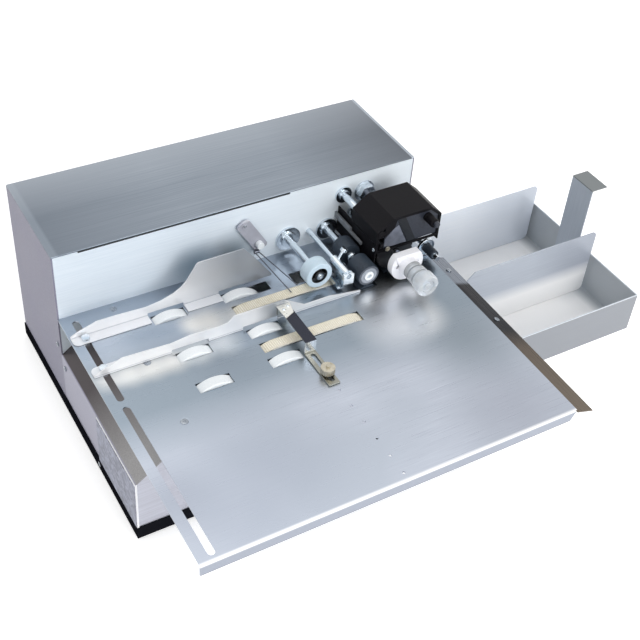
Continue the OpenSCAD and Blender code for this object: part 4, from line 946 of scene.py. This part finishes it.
# A folded sheet hood in satin black paint over the hot head, hinged on a chromed rod at
# its left corner; a black side plate stands behind it.

# Satin paint: deep black, with hardly any mirror image
satin_black = grainy("satin_black_paint", "#0b0a0e", "#111014", 1.0, 0.01, 0.0, 0.5,
                     Specular_IOR_Level=0.12)
refine("head_cover", 0.5, satin_black, "satin_black", "cover")
refine("head_side_plate", 0.3, satin_black, "satin_black", "machine")
dress(bright_chrome, "cover_rod")


def cut_plate(name, outline, y, thick):
    """A flat plate facing front: a filled circle primitive whose corners are moved to an
    outline of (x, z) in mm, then extruded backwards."""
    start_clean()
    bpy.ops.mesh.primitive_circle_add(vertices=len(outline), radius=0.01, fill_type="NGON",
                                      location=(0, 0, 0))
    plate = bpy.context.object
    plate.name = name
    bpy.ops.object.mode_set(mode="EDIT")
    for vertex, (x, z) in zip(bmesh.from_edit_mesh(plate.data).verts, outline):
        vertex.co = spot(x, y, z)
    bmesh.update_edit_mesh(plate.data)
    bpy.ops.mesh.select_all(action="SELECT")
    draw_out(0, thick, 0)
    face_outwards()
    bpy.ops.object.mode_set(mode="OBJECT")
    round_edges(plate, 0.1, 1)
    return plate


# Inside the hood: a heat shield in dark blue-grey paint, a slanting brace, a bare plate
# and the web that stiffens the hood's corner
shield_paint = grainy("blue_grey_shield_paint", "#2c303a", "#363a45", 1.4, 0.01, 0.2, 0.4)
brace_paint = grainy("dark_brace_paint", "#0b0f16", "#11161e", 1.4, 0.01, 0.2, 0.4)
bare_plate = plated("bare_zinc_plate", "#6a6f7c", "#818693", 0.4, 8.0, 0.5)
for name, y, thick, finish, slot, outline in (
        ("heat_shield", -74.7, 0.6, shield_paint, "satin_black", [
            (319, 58.5), (327.4, 66.8), (372.4, 66.8), (382.8, 57.2), (382.8, 33.8),
            (319, 33.8)]),
        ("shield_brace", -75.6, 0.85, brace_paint, "satin_black", [
            (332.2, 66.6), (341.8, 66.6), (357.6, 34), (347.2, 34)]),
        ("shield_bare_plate", -75.1, 0.35, bare_plate, "zinc", [
            (319.4, 45), (329.4, 56), (334.6, 59), (346.6, 34.2), (326.5, 34.2),
            (319.4, 36.5)]),
        ("hood_corner_web", -75.7, 0.55, satin_black, "satin_black", [
            (318.6, 48), (318.6, 63.2), (327.2, 66.9), (332, 66.9), (329.6, 57.6)])):
    settle(cut_plate(name, outline, y, thick), finish, slot, "cover")
cap = turned("rod_cap", 313.8, 53.8, [(-76.05, 4.3), (-76.6, 4.3), (-76.9, 3.8),
                                      (-76.9, 0.5)], 48)
round_edges(cap, 0.1, 1)
settle(cap, satin_black, "satin_black", "machine")
clamp = turned("hood_clamp_screw", 369, 59, [
    (-74.75, 5), (-77, 5), (-77.4, 4.5), (-78.6, 4.5), (-79, 5), (-88.2, 5),
    (-89.4, 4.1), (-89.4, 0.5)], 48)
round_edges(clamp, 0.15, 1, 35)
settle(clamp, satin_black, "satin_black", "cover")
clamp_tip = turned("hood_clamp_tip", 369.6, 59.4, [(-89.45, 3.2), (-92.4, 3.2), (-93.2, 2.4),
                                                   (-93.2, 0.4)], 32)
round_edges(clamp_tip, 0.1, 1, 35)
settle(clamp_tip, shield_paint, "black_plastic", "cover")
add_screw("bar_screw", 2.7, 1.1, 0.4, facing_front, (323.2, -76.05, 33.2), nickel, "cover")
add_screw("side_plate_screw", 2.3, 1.1, 0.4, facing_left, (309.55, -72.4, 33.4),
          bright_chrome, "machine")

# Separator

# A folded polished leaf on a collar and eye block holds back all but the lowest sheet;
# its rod stands in the housing front.

refine("separator_arm", 0.2, bright_chrome, "polished", "separator")
refine("separator_screw", 0.3, bright_chrome, "chrome", "separator_knob")
dress(bright_chrome, "separator_rod")

# Bars, lever and fingers

# Flat polished tension bar; a plated lever with a plastic clamp screw carries two thin
# spring wires that press on the sheets.

refine("tension_bar", 0.2, polished_sheet, "polished", "machine")
# Dull zinc plate, lighter at its upper end
lever_zinc = plated("dull_plated_lever", "#aeafb9", "#bfc0ca", 0.42, 14.0, 0.4)
shade_to(lever_zinc, "#d8d8de", "Z", 55.4, 57.2, 0.8)
refine("lever_bar", 0.4, lever_zinc, "zinc", "machine")
add_screw("lever_pin", 1.5, 0.7, 0.3, facing_front, (196.8, -6.05, 53.4), zinc_plate,
          "machine")
refine("lever_screw", 0.5, white_nylon, "white_nylon", "lever_knob")
# Blued spring steel wire
spring_wire = plated("blued_spring_wire", "#4f525a", "#6c6f78", 0.3, 5.0)
dress(spring_wire, "finger_wires")

# Exit roller

# A short black sleeve and a chromed flange ring on a steel shaft at the table's right
# edge push the printed sheet out to the tray.

refine("exit_roller", 0.3, bright_chrome, "chrome", "exit_wheel")
exit_x, exit_z = 379.5, 10.8
sleeve = turned("exit_sleeve", exit_x, exit_z, [
    (-69.2, 3.0), (-69.2, 4.9), (-69.6, 5.2), (-83.4, 5.2), (-84.1, 4.6), (-84.1, 3.0)],
    ring=True)
round_edges(sleeve, 0.2, 2, 35)
settle(sleeve, black_rubber, "rubber", "exit_wheel")
dish = turned("exit_flange_dish", exit_x, exit_z, [
    (-65.8, 7.3), (-65.8, 9.7), (-66.2, 10.1), (-68.7, 10.1), (-69, 9.8), (-69, 9.2),
    (-67, 8.6), (-67, 7.3)], ring=True)
round_edges(dish, 0.12, 1, 35)
settle(dish, bright_chrome, "chrome", "exit_wheel")

# Tray, dividers and stop

# Folded and spot-welded satin stainless. The dividers and the stop stand in the tray on
# their own feet and are slid to the size of the bags.

# Satin stainless, evenly lit and nearly white; the lines of the stop run upright
satin = {"line_mm": 0.8, "run_mm": 45, "depth_mm": 0.002, "metallic": 0.15}
tray_steel = brushed("satin_stainless_tray", "#c6cad0", "#d3d7dc", 0.36, **satin)
divider_steel = brushed("satin_stainless_divider", "#b3bac5", "#c1c8d2", 0.36, **satin)
# A lighter copy of the divider steel for the back divider: painted light that offsets the shade
# of the front divider and the cover
back_steel = brushed("satin_stainless_back_divider", "#e8eff8", "#f2f6fb", 0.36, **satin)
stop_steel = brushed("satin_stainless_stop", "#a9b2bd", "#b5bdc7", 0.4, along="z",
                     line_mm=0.9, run_mm=50, depth_mm=0.003, metallic=0.15)
# Painted reflections: the floor is bright with the white room it mirrors, and darker
# towards the right wall, which it mirrors there
shade_to(tray_steel, "#ffffff", "Z", -91.2, -91.7)
shade_to(tray_steel, "#aab0b5", "X", 572, 586, 0.95)
shade_patches(tray_steel, (((578, -92, -92), 46, "#a3abb5", 0.6),
                           ((572, 42, -92), 60, "#98a1a9", 0.65)))
# Its right wall is grey, its front wall darker, and the rim on top shines
shade_to(tray_steel, "#b6bbc2", "X", 590.2, 590.7)
shade_to(tray_steel, "#92969d", "Y", -182.8, -183.2)
shade_to(tray_steel, "#e6edf4", "Z", -44.6, -44.2, 0.8)
# The dividers grey towards the right, the front one is white at its foot, and the stop's
# upper edge is dark
shade_to(divider_steel, "#979daa", "X", 500, 586, 0.75)
shade_to(divider_steel, "#ffffff", "Z", -48, -66, 1.0)
shade_to(stop_steel, "#7d8284", "Z", 28.9, 29.3)
shade_to(back_steel, "#c3cbd8", "X", 480, 580, 0.7)
refine("tray", 0.4, tray_steel, "brushed", "machine")
for node, body, steel in (("front_divider", "front_divider_body", divider_steel),
                          ("back_divider", "back_divider_body", back_steel)):
    refine(node, 0.25, steel, "brushed", body)
refine("tray_stop", 0.25, stop_steel, "brushed", "stop")

# Motor, inlet and switch

# A black gear motor behind the front plate, and on the back a moulded three-pin inlet
# and a power rocker.

# Moulded plastic: black, with a fine eroded grain
moulded_black = grainy("moulded_black_plastic", "#1b1c1e", "#27292c", 0.9, 0.02, 0.0, 0.4)
dress(black_powder_coat, "gear_motor")
refine("inlet_socket", 0.3, moulded_black, "black_plastic", "machine")
refine("power_switch", 0.3, moulded_black, "black_plastic", "rocker")
